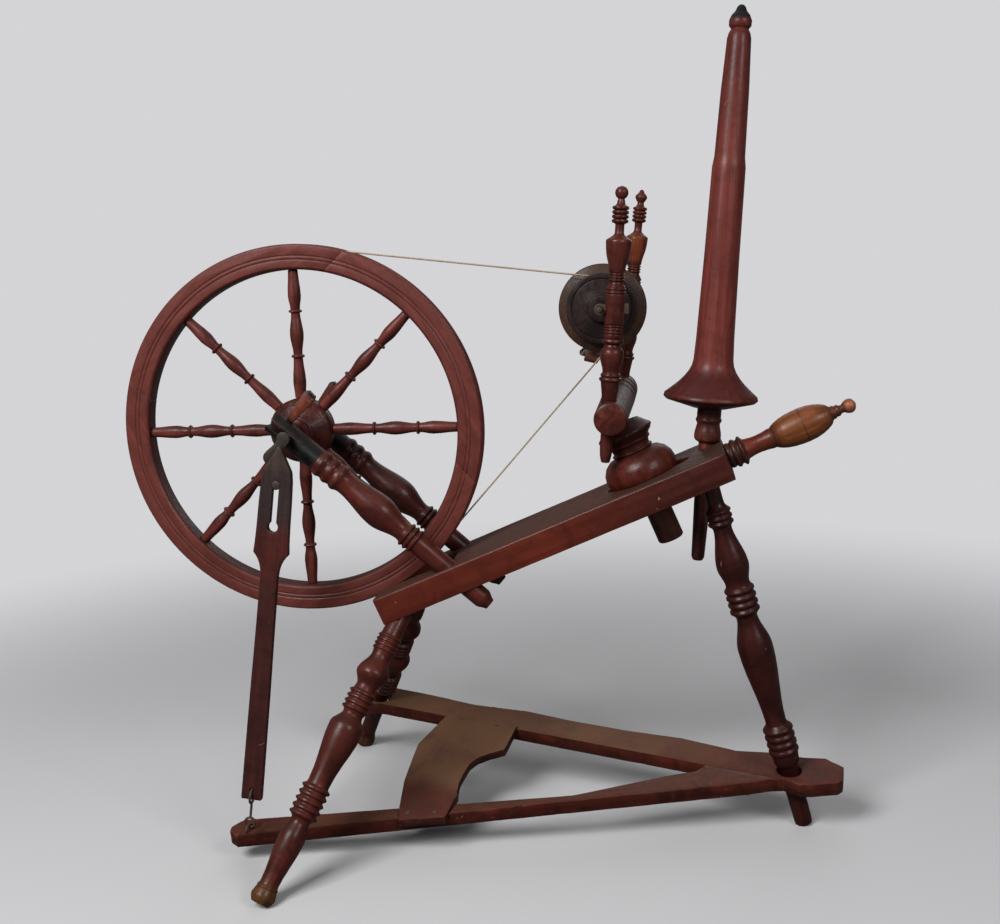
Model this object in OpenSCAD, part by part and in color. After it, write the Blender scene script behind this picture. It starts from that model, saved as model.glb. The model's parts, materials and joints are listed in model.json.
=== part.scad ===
// Flax spinning wheel, treadle driven, on a sloping three-legged table.
// Millimetres. The floor is z = 0 and the origin is under the middle of the whole. +X runs up
// the table towards the distaff, and +Y points away from the crank, to the spinner's seat.
// Every piece is drawn with the wheel's middle over the origin, and stood() then shifts it.

/* [Wheel] */
// Height of the axle above the floor
axle_height = 514; // [490:1:540]
// Outer diameter of the wheel
wheel_d = 460; // [420:1:470]
// Radial depth of the rim
rim_depth = 31; // [26:1:36]
// Width of the rim across its faces
rim_width = 26; // [22:1:32]
// Depth of the band groove in the rim
rim_groove_depth = 6; // [4:0.5:8]
// Width of the band groove at the rim's edge
rim_groove_w = 16; // [12:1:18]
// Turn of the wheel, which places the first spoke
wheel_turn = -0.5; // [-5:0.1:8]
// Turn of the felloe joints from the first spoke
felloe_turn = 75.1; // [68:0.1:80]
// Lean of the felloe joints from the wheel's radius
felloe_lean = 34; // [20:1:40]
// Greatest diameter of the hub
hub_d = 80; // [70:1:90]
// Length of the hub along the axle
hub_len = 74; // [66:1:76]
// Greatest diameter of a spoke
spoke_d = 17; // [14:0.5:20]
// Diameter of a spoke's tenon
spoke_tenon_d = 11; // [8:0.5:12]
// Depth of a spoke's tenon in the rim
spoke_tenon_len = 12; // [8:1:16]

/* [Axle and crank] */
// Diameter of the iron axle
axle_d = 10; // [8:0.5:12]
// Reach of the axle past each wheel post's middle
axle_reach = 20; // [18:1:24]
// Throw of the crank
crank_throw = 54; // [46:1:56]
// Thickness of the crank arm
crank_arm_t = 6; // [4:0.5:8]
// Width of the crank arm at the axle
crank_arm_w = 16; // [12:1:18]
// Diameter of the crank pin
crank_pin_d = 9; // [7:0.5:10]

/* [Table] */
// Length of the table along its slope
table_len = 458; // [448:1:480]
// Width of the table
table_w = 142; // [138:1:156]
// Thickness of the table
table_t = 34; // [32:1:38]
// Slope of the table
table_slope = 22; // [20:0.5:24]
// Distance of the table's low end from the wheel's middle
table_x = 94; // [88:1:98]
// Height of the low end's upper edge
table_low_height = 311.5; // [305:0.5:318]
// Width of the fork that the wheel runs in
fork_w = 56; // [48:1:60]
// Depth of the fork from the low end
fork_depth = 100; // [92:1:108]
// Chamfer along the table's upper edges
table_chamfer = 2; // [1:0.5:3]

/* [Wheel posts] */
// Lean of the posts from the horizontal
post_angle = 42; // [40:0.5:44]
// Distance between the posts' middles
post_span = 110; // [106:1:112]
// Diameter of a post's forked black end
post_head_d = 29; // [26:0.5:31]
// Greatest diameter of a post's vase
post_vase_d = 41; // [36:1:42]
// Diameter of a post's shank
post_shank_d = 24.8; // [22:0.2:26]
// Length of a post past the axle
post_len = 318; // [310:1:330]
// Reach of the forked end beyond the axle
post_head_reach = 28; // [26:1:34]
// Length of the black end behind the axle
post_black_len = 46; // [40:1:50]
// Diameter of a keeper peg in its hole
keeper_d = 6.8; // [5:0.2:8]
// Length of a keeper peg above the post's middle
keeper_len = 60; // [50:1:70]
// Width of a keeper's paddle at its upper end
keeper_w = 16; // [12:1:18]
// Thickness of a keeper's paddle
keeper_flat = 8; // [7.5:0.5:10]

/* [Legs] */
// Distance of the right foot from the wheel's middle
right_foot_x = 612; // [600:1:630]
// Place of the right leg along the table
right_leg_s = 427; // [425:0.5:430]
// Offset of the right leg's top from the middle
right_leg_y = 19; // [18:0.5:22]
// Place of the left legs along the table
left_leg_s = 20; // [18:0.5:24]
// Offset of the left legs' tops from the middle
left_leg_y = 55; // [53:0.5:56]
// Distance of the left feet behind the wheel's middle
left_foot_x = 17; // [10:1:24]
// Half the spread of the left feet
left_foot_y = 240; // [232:1:250]
// Greatest diameter of a leg's vase
leg_vase_d = 43; // [38:1:46]
// Diameter of a leg's rings
leg_ring_d = 39; // [34:1:42]
// Diameter of a leg's necks
leg_neck_d = 25; // [22:1:28]
// Diameter of a leg where it passes the treadle
leg_foot_d = 22; // [20:0.5:23]
// Diameter of a leg's tenon
leg_tenon_d = 17; // [14:0.5:18]
// Depth of the right leg's tenon
right_tenon_len = 20; // [16:1:24]
// Depth of a left leg's slanting tenon
left_tenon_len = 26; // [20:1:28]

/* [Treadle] */
// Height of the treadle's pivot on the far left leg
treadle_far_h = 91; // [85:1:96]
// Height of the treadle's pivot on the right leg
treadle_right_h = 63; // [58:1:68]
// Dip of the treadle at its lowest
treadle_dip = 10.4; // [9:0.1:11]
// Thickness of the treadle bars
treadle_t = 18; // [15:0.5:20]
// Width of the far bar
far_bar_w = 42; // [40:1:46]
// Width of the near bar
near_bar_w = 31; // [26:1:34]
// Distance of the footman's hook from the pivot line
hook_v = 329; // [322:1:334]
// Place of the footman's hook along the pivot line
hook_u = 13; // [8:1:18]
// Thickness of the tread board
tread_t = 11; // [8:0.5:12]
// Height of the tread board above the bars
tread_rise = 3; // [1:0.5:5]
// Diameter of the treadle's leg holes
treadle_hole_d = 29; // [28:0.5:31]
// Length of the apex past the right leg
apex_len = 63; // [50:1:70]

/* [Footman] */
// Thickness of the footman board
footman_t = 9; // [7:0.5:10]
// Width of the footman's head
footman_head_w = 44; // [38:1:50]
// Width of the footman's shank
footman_w = 25; // [20:1:28]
// Distance of the footman from the wheel's middle at the crank pin
footman_y = 94; // [93:0.5:97]
// Length of the footman above the crank pin
footman_tip = 50; // [44:1:54]
// Gap between the footman's lower end and the treadle
footman_hang = 40; // [34:1:46]
// Diameter of the keyhole's round end
keyhole_d = 13; // [11:0.5:15]
// Width of the keyhole's slot
keyhole_slot_w = 8; // [6:0.5:9]
// Length of the keyhole
keyhole_len = 52; // [44:1:58]
// Diameter of the hook's wire
hook_wire_d = 3; // [2:0.5:3.5]
// Radius of the hook's upper loop
hook_loop_r = 9; // [8.5:0.5:10]
// Radius of the hook's lower loop
hook_eye_r = 6; // [5.5:0.5:7]
// Radius of the staple's arch
staple_r = 7; // [6.5:0.5:8]
// Diameter of the crank pin's end in the keyhole
crank_end_d = 11; // [10:0.5:12]

/* [Mother-of-all] */
// Place of the mother-of-all along the table
moa_s = 353; // [350:1:357]
// Height of the mother-of-all's middle above the table
moa_h = 86; // [80:1:92]
// Diameter of the mother-of-all
moa_d = 39; // [34:1:42]
// Diameter of the mother-of-all's far end
moa_far_d = 44; // [40:1:48]
// Reach of the mother-of-all on the crank side
moa_near = 62; // [58:1:70]
// Reach of the mother-of-all on the spinner's side
moa_far = 290; // [280:1:300]
// Greatest diameter of the collar under it
collar_d = 90; // [84:1:96]
// Diameter of the collar's waist
collar_waist_d = 46; // [40:1:52]
// Diameter of the collar's rim under the mother-of-all
collar_rim_d = 68; // [60:1:72]
// Distance of the collar from the mother-of-all's middle, up the table
collar_shift = 3.7; // [2:0.1:5]
// Diameter of the shank through the table
shank_d = 32; // [28:1:34]
// Diameter of the collar's tenon in the mother-of-all
collar_tenon_d = 20; // [16:1:24]
// Length of the shank below the table
shank_drop = 50; // [40:1:60]
// Travel of the mother-of-all towards the wheel
tension_travel = 28; // [20:1:30]

/* [Maidens] */
// Distance of the near maiden from the wheel's plane
maiden_near_y = 38; // [37:0.5:40]
// Distance of the far maiden from the wheel's plane
maiden_far_y = 262; // [256:1:266]
// Length of the near maiden above the mother-of-all's middle
maiden_near_len = 267; // [260:1:275]
// Length of the far maiden above the mother-of-all's middle
maiden_far_len = 280; // [272:1:288]
// Lean of the near maiden
maiden_near_lean = 5.3; // [4:0.1:6.5]
// Distance of the near maiden's foot from the mother-of-all's middle, towards the wheel
maiden_near_shift = 3.7; // [2:0.1:5]
// Lean of the far maiden
maiden_far_lean = 7.5; // [6:0.5:9]
// Diameter of a maiden's tenon
maiden_tenon_d = 15; // [13:0.5:16]
// Length of a maiden's tenon below the mother-of-all's middle
maiden_peg_len = 54; // [44:1:60]
// Diameter of a maiden's straight block, where the bearing is
maiden_block_d = 23; // [21:0.5:25]
// Greatest diameter of a maiden's cup
maiden_cup_d = 30; // [27:1:33]
// Thickness of the leather bearings
leather_t = 6; // [5:0.5:8]
// Width of the leather bearings
leather_w = 12; // [9:0.5:16]
// Wall of a bearing's eye round the spindle
leather_rim = 3; // [2:0.5:4]

/* [Flyer and bobbin] */
// Height of the spindle above the mother-of-all's middle
spindle_h = 126.5; // [122:0.5:130]
// Distance of the spindle towards the wheel
spindle_dx = 9; // [7:0.5:11]
// Diameter of the spindle
spindle_d = 8; // [6:0.5:9]
// Diameter of the orifice tube
orifice_d = 18; // [16:0.5:20]
// Bore of the orifice tube
orifice_bore = 10; // [8:0.5:12]
// Diameter of the flyer whorl
whorl_d = 84; // [78:1:90]
// Depth of the whorl's groove
whorl_groove_depth = 7; // [5:0.5:9]
// Width of the whorl
whorl_w = 18; // [16:0.5:20]
// Distance of the flyer arms from the spindle
flyer_arm_r = 62.5; // [60:0.5:66]
// Thickness of a flyer arm, across
flyer_arm_t = 12; // [9:0.5:13]
// Width of a flyer arm
flyer_arm_w = 17; // [13:0.5:19]
// Length of the flyer's body at the orifice
flyer_head_len = 30; // [24:1:34]
// Distance of the flyer's shoulder from the wheel's plane
flyer_shoulder_y = 212; // [204:1:216]
// Diameter of the flyer's boss on the spindle
flyer_boss_d = 32; // [28:1:36]
// Turn of the flyer about the spindle
flyer_turn = 105; // [0:5:180]
// Hooks on each flyer arm
flyer_hooks = 8; // [6:1:10]
// Diameter of the bobbin's large end
bobbin_disc_d = 106; // [98:1:110]
// Diameter of the bobbin's small end
bobbin_end_d = 78; // [70:1:90]
// Diameter of the bobbin's barrel
bobbin_barrel_d = 26; // [20:1:34]

/* [Drive band] */
// Diameter of the band's cord
band_d = 2.4; // [2:0.1:3]

/* [Distaff] */
// Place of the distaff along the table
distaff_s = 439; // [437:0.5:441]
// Offset of the distaff towards the spinner
distaff_y = 28; // [27:0.5:32]
// Lean of the distaff
distaff_lean = 5.5; // [4:0.5:7]
// Diameter of the distaff's stem in the table
distaff_stem_d = 20; // [18:0.5:22]
// Length of the stem below the table's upper face
distaff_tail = 143; // [120:1:150]
// Height of the skirt's lower edge above the table
skirt_h = 48; // [40:1:56]
// Diameter of the skirt
skirt_d = 114; // [104:1:120]
// Length of the distaff head from skirt to tip
head_len = 468; // [450:1:480]
// Diameter of the head above the skirt
head_d = 48; // [42:1:52]

/* [Tension screw] */
// Diameter of the screw
screw_d = 14; // [12:0.5:15]
// Length of the handle outside the table
handle_len = 156; // [145:1:165]
// Greatest diameter of the handle's grip
grip_d = 36; // [32:1:40]

/* [Fits] */
// Radial clearance of pieces that are glued or driven
seat_fit = 0.05; // [0.02:0.01:0.1]
// Radial clearance of turning fits
run_fit = 0.08; // [0.04:0.01:0.1]
// Gap between sliding or turning faces
face_gap = 0.3; // [0.2:0.05:0.5]

/* [Hidden] */
// Number of spokes and of felloes
spoke_count = 8;
felloe_count = 4;
// Facets on a full circle, where a display needs them
$fn = 48;
// Reach of a cut past the face it leaves
cut = 1;
// Size of the blocks that trim a leg at the table and at the floor
trim = 120;
// Room between the spindle and a maiden that it passes
spindle_room = 1;
// Gap between two felloes
joint_gap = 0.08;
// Turn of a revolved piece's seam out of its steepest side
seam_roll = 35;
// Share of a foot's end that isn't worn flat
foot_keep = 0.65;

// Colours
wood = [0.42, 0.14, 0.10];
wood_dark = [0.28, 0.10, 0.08];
wood_black = [0.08, 0.07, 0.07];
wood_brown = [0.40, 0.25, 0.14];
wood_worn = [0.45, 0.33, 0.20];
iron = [0.20, 0.19, 0.19];
leather = [0.30, 0.19, 0.12];
cord = [0.72, 0.58, 0.38];

// Points and directions
up = [0, 0, 1];
function unit(v) = v / norm(v);
function along(a, b, t) = a + unit(b - a) * t;
function foot_station(foot, top, r) =
    foot_keep * r * norm([top.x - foot.x, top.y - foot.y]) / (top.z - foot.z);
function at_height(a, b, h) = a + (b - a) * (h - a.z) / (b.z - a.z);

// Table frame: s along the slope, y across, h above the upper face
table_x_dir = [cos(table_slope), 0, sin(table_slope)];
table_up = [-sin(table_slope), 0, cos(table_slope)];
table_origin = [table_x, 0, table_low_height];
function on_table(s, y, h) = table_origin + table_x_dir * s + [0, y, 0] + table_up * h;

// Wheel and band
wheel_r = wheel_d / 2;
wheel_centre = [0, 0, axle_height];
rim_inner_r = wheel_r - rim_depth;
wheel_groove_r = wheel_r - rim_groove_depth;
hub_r = hub_d / 2;
spoke_seat_r = hub_r * 0.6;
post_y = post_span / 2;
axle_r = axle_d / 2;
axle_end_y = post_y + axle_reach;

// Wheel posts
keeper_t = -(axle_r + keeper_d / 2 + 2);

// Legs
right_foot = [right_foot_x, 0, 0];
right_top = on_table(right_leg_s, -right_leg_y, -table_t);
right_len = norm(right_top - right_foot);
left_foot = [-left_foot_x, -left_foot_y, 0];
left_top = on_table(left_leg_s, -left_leg_y, -table_t);
left_len = norm(left_top - left_foot);
far_foot = [left_foot.x, -left_foot.y, 0];
far_top = [left_top.x, -left_top.y, left_top.z];

// Treadle frame: u along the pivot line, v towards the spinner, w up from mid-thickness
pivot_far = at_height(far_foot, far_top, treadle_far_h);
pivot_right = at_height(right_foot, right_top, treadle_right_h);
pivot_len = norm(pivot_right - pivot_far);
treadle_u = unit(pivot_right - pivot_far);
level_v = unit(cross(up, treadle_u));
level_w = cross(treadle_u, level_v);
treadle_v = level_v * cos(treadle_dip) + level_w * sin(treadle_dip);
treadle_w = cross(treadle_u, treadle_v);
function on_treadle(u, v, w) = pivot_far + treadle_u * u + treadle_v * v + treadle_w * w;
function in_treadle(d) = [d * treadle_u, d * treadle_v, d * treadle_w];
hook_point = on_treadle(hook_u, -hook_v, treadle_t / 2);
rock_angle = 2 * asin(crank_throw / hook_v);
staple_depth = treadle_t * 0.6;
tread_low = treadle_t / 2 + tread_rise - tread_t;

// Edges of the far bar, and the near bar's left end, right end and slant
far_front = -far_bar_w * 0.52;
far_back = far_bar_w * 0.45;
near_bar_a = [2, -hook_v + 2];
near_bar_end = [pivot_len - 4, far_front];
near_bar_front = near_bar_end - near_bar_a;
near_bar_tilt = atan2(near_bar_front.y, near_bar_front.x) - asin(near_bar_w / 2 / norm(near_bar_front));
near_bar_dir = [cos(near_bar_tilt), sin(near_bar_tilt)];
near_bar_side = [-near_bar_dir.y, near_bar_dir.x];
function on_board(a, b) = [a * pivot_len, -b * hook_v];
nail_places = [on_board(0.251, 0.08), on_board(0.343, 0.08), on_board(0.308, 0.72), on_board(0.36, 0.685)];

// Crank and footman, in line at the bottom of the stroke
crank_dir = unit([hook_point.x, 0, hook_point.z - axle_height]);
crank_pin = wheel_centre + crank_dir * crank_throw;
footman_top = [crank_pin.x, -footman_y, crank_pin.z];
footman_reach = norm(hook_point - footman_top);
footman_down = unit(hook_point - footman_top);
footman_across = unit(cross(footman_down, [0, 1, 0]));
footman_out = cross(footman_down, footman_across);
footman_board_len = footman_reach - footman_hang;

// Wire hook: its hole in the board, its upper ring's middle and its lowest point
hook_hole_z = footman_board_len - 12;
hook_hole_d = hook_wire_d + 3;
hook_ring_z = hook_hole_z + (hook_loop_r + sqrt(pow(hook_loop_r, 2) - pow(footman_t / 2, 2))) / 2;
hook_low_z = footman_reach - staple_r + hook_wire_d + face_gap;

// Mother-of-all, spindle and whorl
moa_centre = on_table(moa_s, 0, moa_h);
moa_r = moa_d / 2;
spindle_x = moa_centre.x - spindle_dx;
spindle_z = moa_centre.z + spindle_h;
whorl_r = whorl_d / 2;
whorl_groove_r = whorl_r - whorl_groove_depth;
slot_w = shank_d + 2 * face_gap;
collar_s = moa_s + collar_shift;
slot_s0 = collar_s - tension_travel - shank_d / 2 - 4;
slot_s1 = collar_s + shank_d / 2 + 42;
screw_pilot = 16;
screw_seat = 24;

// Bobbin and flyer places along the spindle
whorl_far_y = whorl_w / 2;
bobbin_y0 = whorl_far_y + 2;
bobbin_disc_w = 11;
flyer_inner_y = flyer_shoulder_y - flyer_head_len;
bobbin_y1 = flyer_inner_y - 3;
flyer_tip_y = bobbin_y0 + bobbin_disc_w + 2;
orifice_end_y = maiden_far_y + 20;
spindle_end_y = -(maiden_near_y + 12);

// Band: the radii of its middle on the wheel and the whorl, and the line between the two
band_wheel_r = wheel_groove_r + band_d / 2 + face_gap;
band_whorl_r = whorl_groove_r + band_d / 2 + face_gap;
band_span = [spindle_x, spindle_z - axle_height];
band_tilt = atan2(band_span.y, band_span.x);
band_open = asin((band_wheel_r - band_whorl_r) / norm(band_span));

// Distaff and handle
distaff_dir = [sin(distaff_lean), 0, cos(distaff_lean)];
distaff_base = on_table(distaff_s, distaff_y, 0);
stem_top = skirt_h + 26;
screw_h = -table_t / 2;

// Middle of the whole, from the wheel to the handle's tip and from the near foot to the far end
foot_reach = left_foot_y + leg_neck_d / 4;
handle_tip = on_table(table_len + handle_len, 0, screw_h);
middle = [(handle_tip.x - wheel_r) / 2, (moa_far - foot_reach) / 2, 0];

// Shift children so that the origin is under the middle of the whole
module stood() {
    translate(-middle)
        children();
}

// Stand children on point a with their Z axis towards point b
module from_to(a, b) {
    d = b - a;
    translate(a)
        rotate([0, acos(d.z / norm(d)), atan2(d.y, d.x)])
            rotate([0, 0, seam_roll])
                children();
}

// Place children drawn in the table's frame
module table_frame() {
    translate(table_origin)
        rotate([0, -table_slope, 0])
            children();
}

// Place children drawn in the treadle's frame
module treadle_frame() {
    multmatrix([
        [treadle_u.x, treadle_v.x, treadle_w.x, pivot_far.x],
        [treadle_u.y, treadle_v.y, treadle_w.y, pivot_far.y],
        [treadle_u.z, treadle_v.z, treadle_w.z, pivot_far.z]
    ])
        children();
}

// Turned outlines, as [radius, station] points from the lower end up
function bead(t, h, core, r) =
    [for (k = [0:4]) [core + (r - core) * sin(45 * k), t + h / 2 - h / 2 * cos(45 * k)]];
function beads(t, h, n, core, r) =
    [for (i = [0:n - 1]) each bead(t + i * h / n, h / n, core, r)];
function rings(t, h, n, core, r) =
    [for (i = [0:n - 1], q = [[0.08, core], [0.36, r], [0.6, r], [0.92, core]])
        [q.y, t + (i + q.x) * h / n]];
function sweep_to(t0, r0, t1, r1, n = 4) =
    [for (k = [0:n]) [r0 + (r1 - r0) * (1 - cos(180 * k / n)) / 2, t0 + (t1 - t0) * k / n]];
function ball(t, r) =
    [for (k = [1:6]) [r * sin(28 * k), t - r * cos(28 * k)]];
function tidy(p) =
    [for (i = [0:len(p) - 1]) if (i == 0 || norm(p[i] - p[i - 1]) > 0.01) p[i]];
module turned(p) {
    q = tidy(p);
    rotate_extrude()
        polygon(concat([[0, q[0].y]], q, [[0, q[len(q) - 1].y]]));
}

// Wheel
module wheel_place(angle) {
    translate(wheel_centre)
        rotate([0, -angle, 0])
            rotate([0, 90, 0])
                children();
}

module rim_outline() {
    face = rim_width / 2;
    lip = rim_width * 0.08;
    inner_lip = rim_width * 0.12;
    line = rim_width * 0.04;
    line_a = wheel_r - rim_depth * 0.45;
    line_b = wheel_r - rim_depth * 0.6;
    half = [
        [rim_inner_r, face - inner_lip],
        [rim_inner_r + inner_lip, face],
        [line_b - line, face],
        [line_b, face - line],
        [line_b + line, face],
        [line_a - line, face],
        [line_a, face - line],
        [line_a + line, face],
        [wheel_r - lip, face],
        [wheel_r, face - lip],
        [wheel_r, rim_groove_w / 2],
        [wheel_groove_r, band_d]
    ];
    n = len(half);
    polygon(concat(half, [for (k = [n - 1:-1:0]) [half[k].x, -half[k].y]]));
}

// Block on one side of a slanted felloe joint at the given turn
module joint_block(turn, side) {
    reach = 2 * rim_depth;
    rotate([0, 0, turn])
        translate([wheel_r - rim_depth / 2, 0, -rim_width])
            rotate([0, 0, -felloe_lean])
                translate([-reach, side > 0 ? -joint_gap / 2 : joint_gap / 2 - reach, 0])
                    cube([2 * reach, reach, 2 * rim_width]);
}

module felloe(i) {
    share = 360 / felloe_count;
    lap = 8;
    start = wheel_turn + felloe_turn + i * share;
    color(wood)
    stood()
    difference() {
        translate(wheel_centre)
            rotate([90, 0, 0])
                difference() {
                    rotate([0, 0, start - lap])
                        rotate_extrude(angle = share + 2 * lap)
                            rim_outline();
                    joint_block(start, -1);
                    joint_block(start + share, 1);
                }
        for (k = [0:spoke_count - 1])
            wheel_place(wheel_turn + k * 360 / spoke_count)
                translate([0, 0, rim_inner_r - cut])
                    cylinder(d = spoke_tenon_d + 2 * seat_fit, h = spoke_tenon_len + cut + seat_fit);
    }
}

module spoke(i) {
    span = rim_inner_r - hub_r;
    r = spoke_d / 2;
    ring_a = hub_r + span * 0.33;
    ring_b = hub_r + span * 0.68;
    color(wood)
    stood()
    wheel_place(wheel_turn + i * 360 / spoke_count)
        turned(concat(
            [[spoke_tenon_d / 2, spoke_seat_r], [spoke_tenon_d / 2, hub_r + 1], [r * 0.8, hub_r + 1]],
            sweep_to(hub_r + 3, r * 0.8, hub_r + span * 0.13, r * 0.95, 3),
            sweep_to(hub_r + span * 0.13, r * 0.95, ring_a - 2, r * 0.68, 3),
            bead(ring_a - 2, 4, r * 0.68, r),
            sweep_to(ring_a + 2, r * 0.65, ring_a + span * 0.17, r, 4),
            sweep_to(ring_a + span * 0.17, r, ring_b - 2, r * 0.65, 4),
            bead(ring_b - 2, 4, r * 0.65, r),
            sweep_to(ring_b + 2, r * 0.68, ring_b + span * 0.12, r * 0.95, 3),
            sweep_to(ring_b + span * 0.12, r * 0.95, rim_inner_r - 1, spoke_tenon_d / 2 + 0.6, 3),
            [[spoke_tenon_d / 2, rim_inner_r - 1], [spoke_tenon_d / 2, rim_inner_r + spoke_tenon_len]]
        ));
}

module hub() {
    half = hub_len / 2;
    core = hub_r * 0.45;
    color(wood)
    stood()
    difference() {
        from_to(wheel_centre - [0, half, 0], wheel_centre + [0, half, 0])
            turned(concat(
                [[core * 0.8, 0]],
                bead(0.5, half * 0.16, core * 0.8, core * 1.05),
                bead(half * 0.18, half * 0.14, core * 0.85, core * 1.2),
                sweep_to(half * 0.36, core * 0.95, half * 0.62, hub_r * 0.86, 4),
                [[hub_r * 0.95, half * 0.68]],
                [[hub_r, half * 0.78], [hub_r, half * 1.22], [hub_r * 0.95, half * 1.32]],
                sweep_to(half * 1.38, hub_r * 0.86, half * 1.64, core * 0.95, 4),
                bead(half * 1.68, half * 0.14, core * 0.85, core * 1.2),
                bead(half * 1.84 - 0.5, half * 0.16, core * 0.8, core * 1.05),
                [[core * 0.8, hub_len]]
            ));
        from_to(wheel_centre - [0, half + cut, 0], wheel_centre + [0, half, 0])
            cylinder(d = axle_d + 2 * seat_fit, h = hub_len + 2 * cut);
        for (k = [0:spoke_count - 1])
            wheel_place(wheel_turn + k * 360 / spoke_count)
                translate([0, 0, spoke_seat_r - seat_fit])
                    cylinder(d = spoke_tenon_d + 2 * seat_fit, h = hub_r);
    }
}

// Iron axle with the crank forged at its near end
module axle() {
    arm_y = -axle_end_y - crank_arm_t;
    pin_end = -footman_y + footman_t / 2 + 1.2;
    color(iron)
    stood() {
        translate([0, arm_y, axle_height])
            rotate([-90, 0, 0])
                cylinder(d = axle_d, h = 2 * axle_end_y + crank_arm_t);
        translate([0, -axle_end_y, axle_height])
            rotate([90, 0, 0])
                linear_extrude(crank_arm_t)
                    rotate([0, 0, atan2(crank_dir.z, crank_dir.x)])
                        crank_outline();
        translate([crank_pin.x, pin_end, crank_pin.z])
            rotate([-90, 0, 0])
                cylinder(d = crank_pin_d, h = -axle_end_y - pin_end);
    }
}

module crank_outline() {
    tip_w = crank_pin_d + 4;
    circle(d = crank_arm_w);
    translate([crank_throw, 0])
        circle(d = tip_w);
    polygon([
        [0, -crank_arm_w / 2],
        [crank_throw, -tip_w / 2],
        [crank_throw, tip_w / 2],
        [0, crank_arm_w / 2]
    ]);
}

// Table
module table() {
    color(wood)
    stood()
    difference() {
        table_frame()
            difference() {
                table_board();
                table_cuts();
            }
        for (side = [-1, 1])
            post_frame(side)
                cylinder(d = post_shank_d + 2 * seat_fit, h = 2 * post_len);
        leg_mortise(right_foot, right_top, right_tenon_len);
        leg_mortise(left_foot, left_top, left_tenon_len);
        leg_mortise(far_foot, far_top, left_tenon_len);
        from_to(distaff_base - distaff_dir * distaff_tail, distaff_base)
            cylinder(d = distaff_stem_d + 2 * run_fit, h = 2 * distaff_tail);
    }
}

module table_board() {
    half = table_w / 2;
    c = table_chamfer;
    rotate([90, 0, 90])
        linear_extrude(table_len)
            polygon([
                [-half, -table_t],
                [half, -table_t],
                [half, -c],
                [half - c, 0],
                [-half + c, 0],
                [-half, -c]
            ]);
}

module table_cuts() {
    fork_r = 10;
    translate([-cut, -fork_w / 2, -table_t - cut])
        cube([fork_depth + cut - fork_r, fork_w, table_t + 2 * cut]);
    translate([-cut, -fork_w / 2 + fork_r, -table_t - cut])
        cube([fork_depth + cut, fork_w - 2 * fork_r, table_t + 2 * cut]);
    for (side = [-1, 1])
        translate([fork_depth - fork_r, side * (fork_w / 2 - fork_r), -table_t - cut])
            cylinder(r = fork_r, h = table_t + 2 * cut);
    translate([slot_s0 + slot_w / 2, -slot_w / 2, -table_t - cut])
        cube([slot_s1 - slot_s0 - slot_w, slot_w, table_t + 2 * cut]);
    for (s = [slot_s0 + slot_w / 2, slot_s1 - slot_w / 2])
        translate([s, 0, -table_t - cut])
            cylinder(d = slot_w, h = table_t + 2 * cut);
    translate([slot_s0 - screw_pilot, 0, screw_h])
        rotate([0, 90, 0])
            cylinder(d = screw_d + 2 * run_fit, h = table_len);
}

module leg_mortise(foot, top, depth) {
    from_to(along(top, foot, leg_tenon_d), top + (top - foot))
        cylinder(d = leg_tenon_d + 2 * seat_fit, h = leg_tenon_d + depth + seat_fit);
}

// Wheel posts, in a frame whose Z runs down the post from the axle
module post_frame(side) {
    translate([0, side * post_y, axle_height])
        rotate([0, 90 + post_angle, 0])
            children();
}

module wheel_post(side) {
    head = post_head_d / 2;
    vase = post_vase_d / 2;
    shank = post_shank_d / 2;
    color(wood)
    stood()
    difference() {
        post_frame(side)
            turned(concat(
                [[head - 1.5, -post_head_reach], [head, -post_head_reach + 1.5]],
                [[head, post_black_len]],
                rings(post_black_len + 1, post_len * 0.12, 3, head * 1.02, vase * 0.86),
                sweep_to(post_len * 0.28, head * 0.95, post_len * 0.45, vase, 5),
                sweep_to(post_len * 0.45, vase, post_len * 0.57, shank * 0.96, 5),
                rings(post_len * 0.575, post_len * 0.062, 3, shank, vase * 0.84),
                [[shank, post_len * 0.65]],
                sweep_to(post_len - 12, shank, post_len, shank * 0.55, 3)
            ));
        post_frame(side)
            post_cuts();
    }
}

module post_cuts() {
    slot_r = axle_r + run_fit;
    rotate([90, 0, 0])
        cylinder(r = slot_r, h = 2 * post_head_d, center = true);
    translate([-slot_r, -post_head_d, -post_head_reach - cut])
        cube([2 * slot_r, 2 * post_head_d, post_head_reach + cut]);
    translate([0, 0, keeper_t])
        rotate([0, 90, 0])
            cylinder(d = keeper_d + 2 * seat_fit, h = 2 * post_head_d, center = true);
}

// Keeper that closes the fork over the axle: a round peg with a flat paddle to pull it by
module keeper(side) {
    r = keeper_d / 2;
    head = post_head_d / 2;
    wide = keeper_w / 2;
    color(wood)
    stood()
    post_frame(side)
        translate([0, 0, keeper_t])
            rotate([0, -90, 0]) {
                turned([[r - 0.8, -head - 4], [r, -head - 3], [r, head + 8]]);
                rotate([90, 0, 0])
                    translate([0, 0, -keeper_flat / 2])
                        linear_extrude(keeper_flat)
                            polygon([
                                [-r - 0.6, head + 2],
                                [r + 0.6, head + 2],
                                [wide, keeper_len - 6],
                                [wide - 2, keeper_len - 1],
                                [-wide + 4, keeper_len],
                                [-wide, keeper_len - 4]
                            ]);
            }
}

// Legs
module leg_trim() {
    table_frame()
        translate([-trim, -table_w, -table_t])
            cube([table_len + 2 * trim, 2 * table_w, trim]);
}

module leg(foot, top, depth) {
    len = norm(top - foot);
    difference() {
        from_to(foot, top)
            children();
        leg_trim();
        translate([foot.x - trim / 2, foot.y - trim / 2, -trim])
            cube(trim);
    }
    from_to(foot, top)
        translate([0, 0, len - leg_neck_d])
            cylinder(d = leg_tenon_d, h = leg_neck_d + depth);
}

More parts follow.
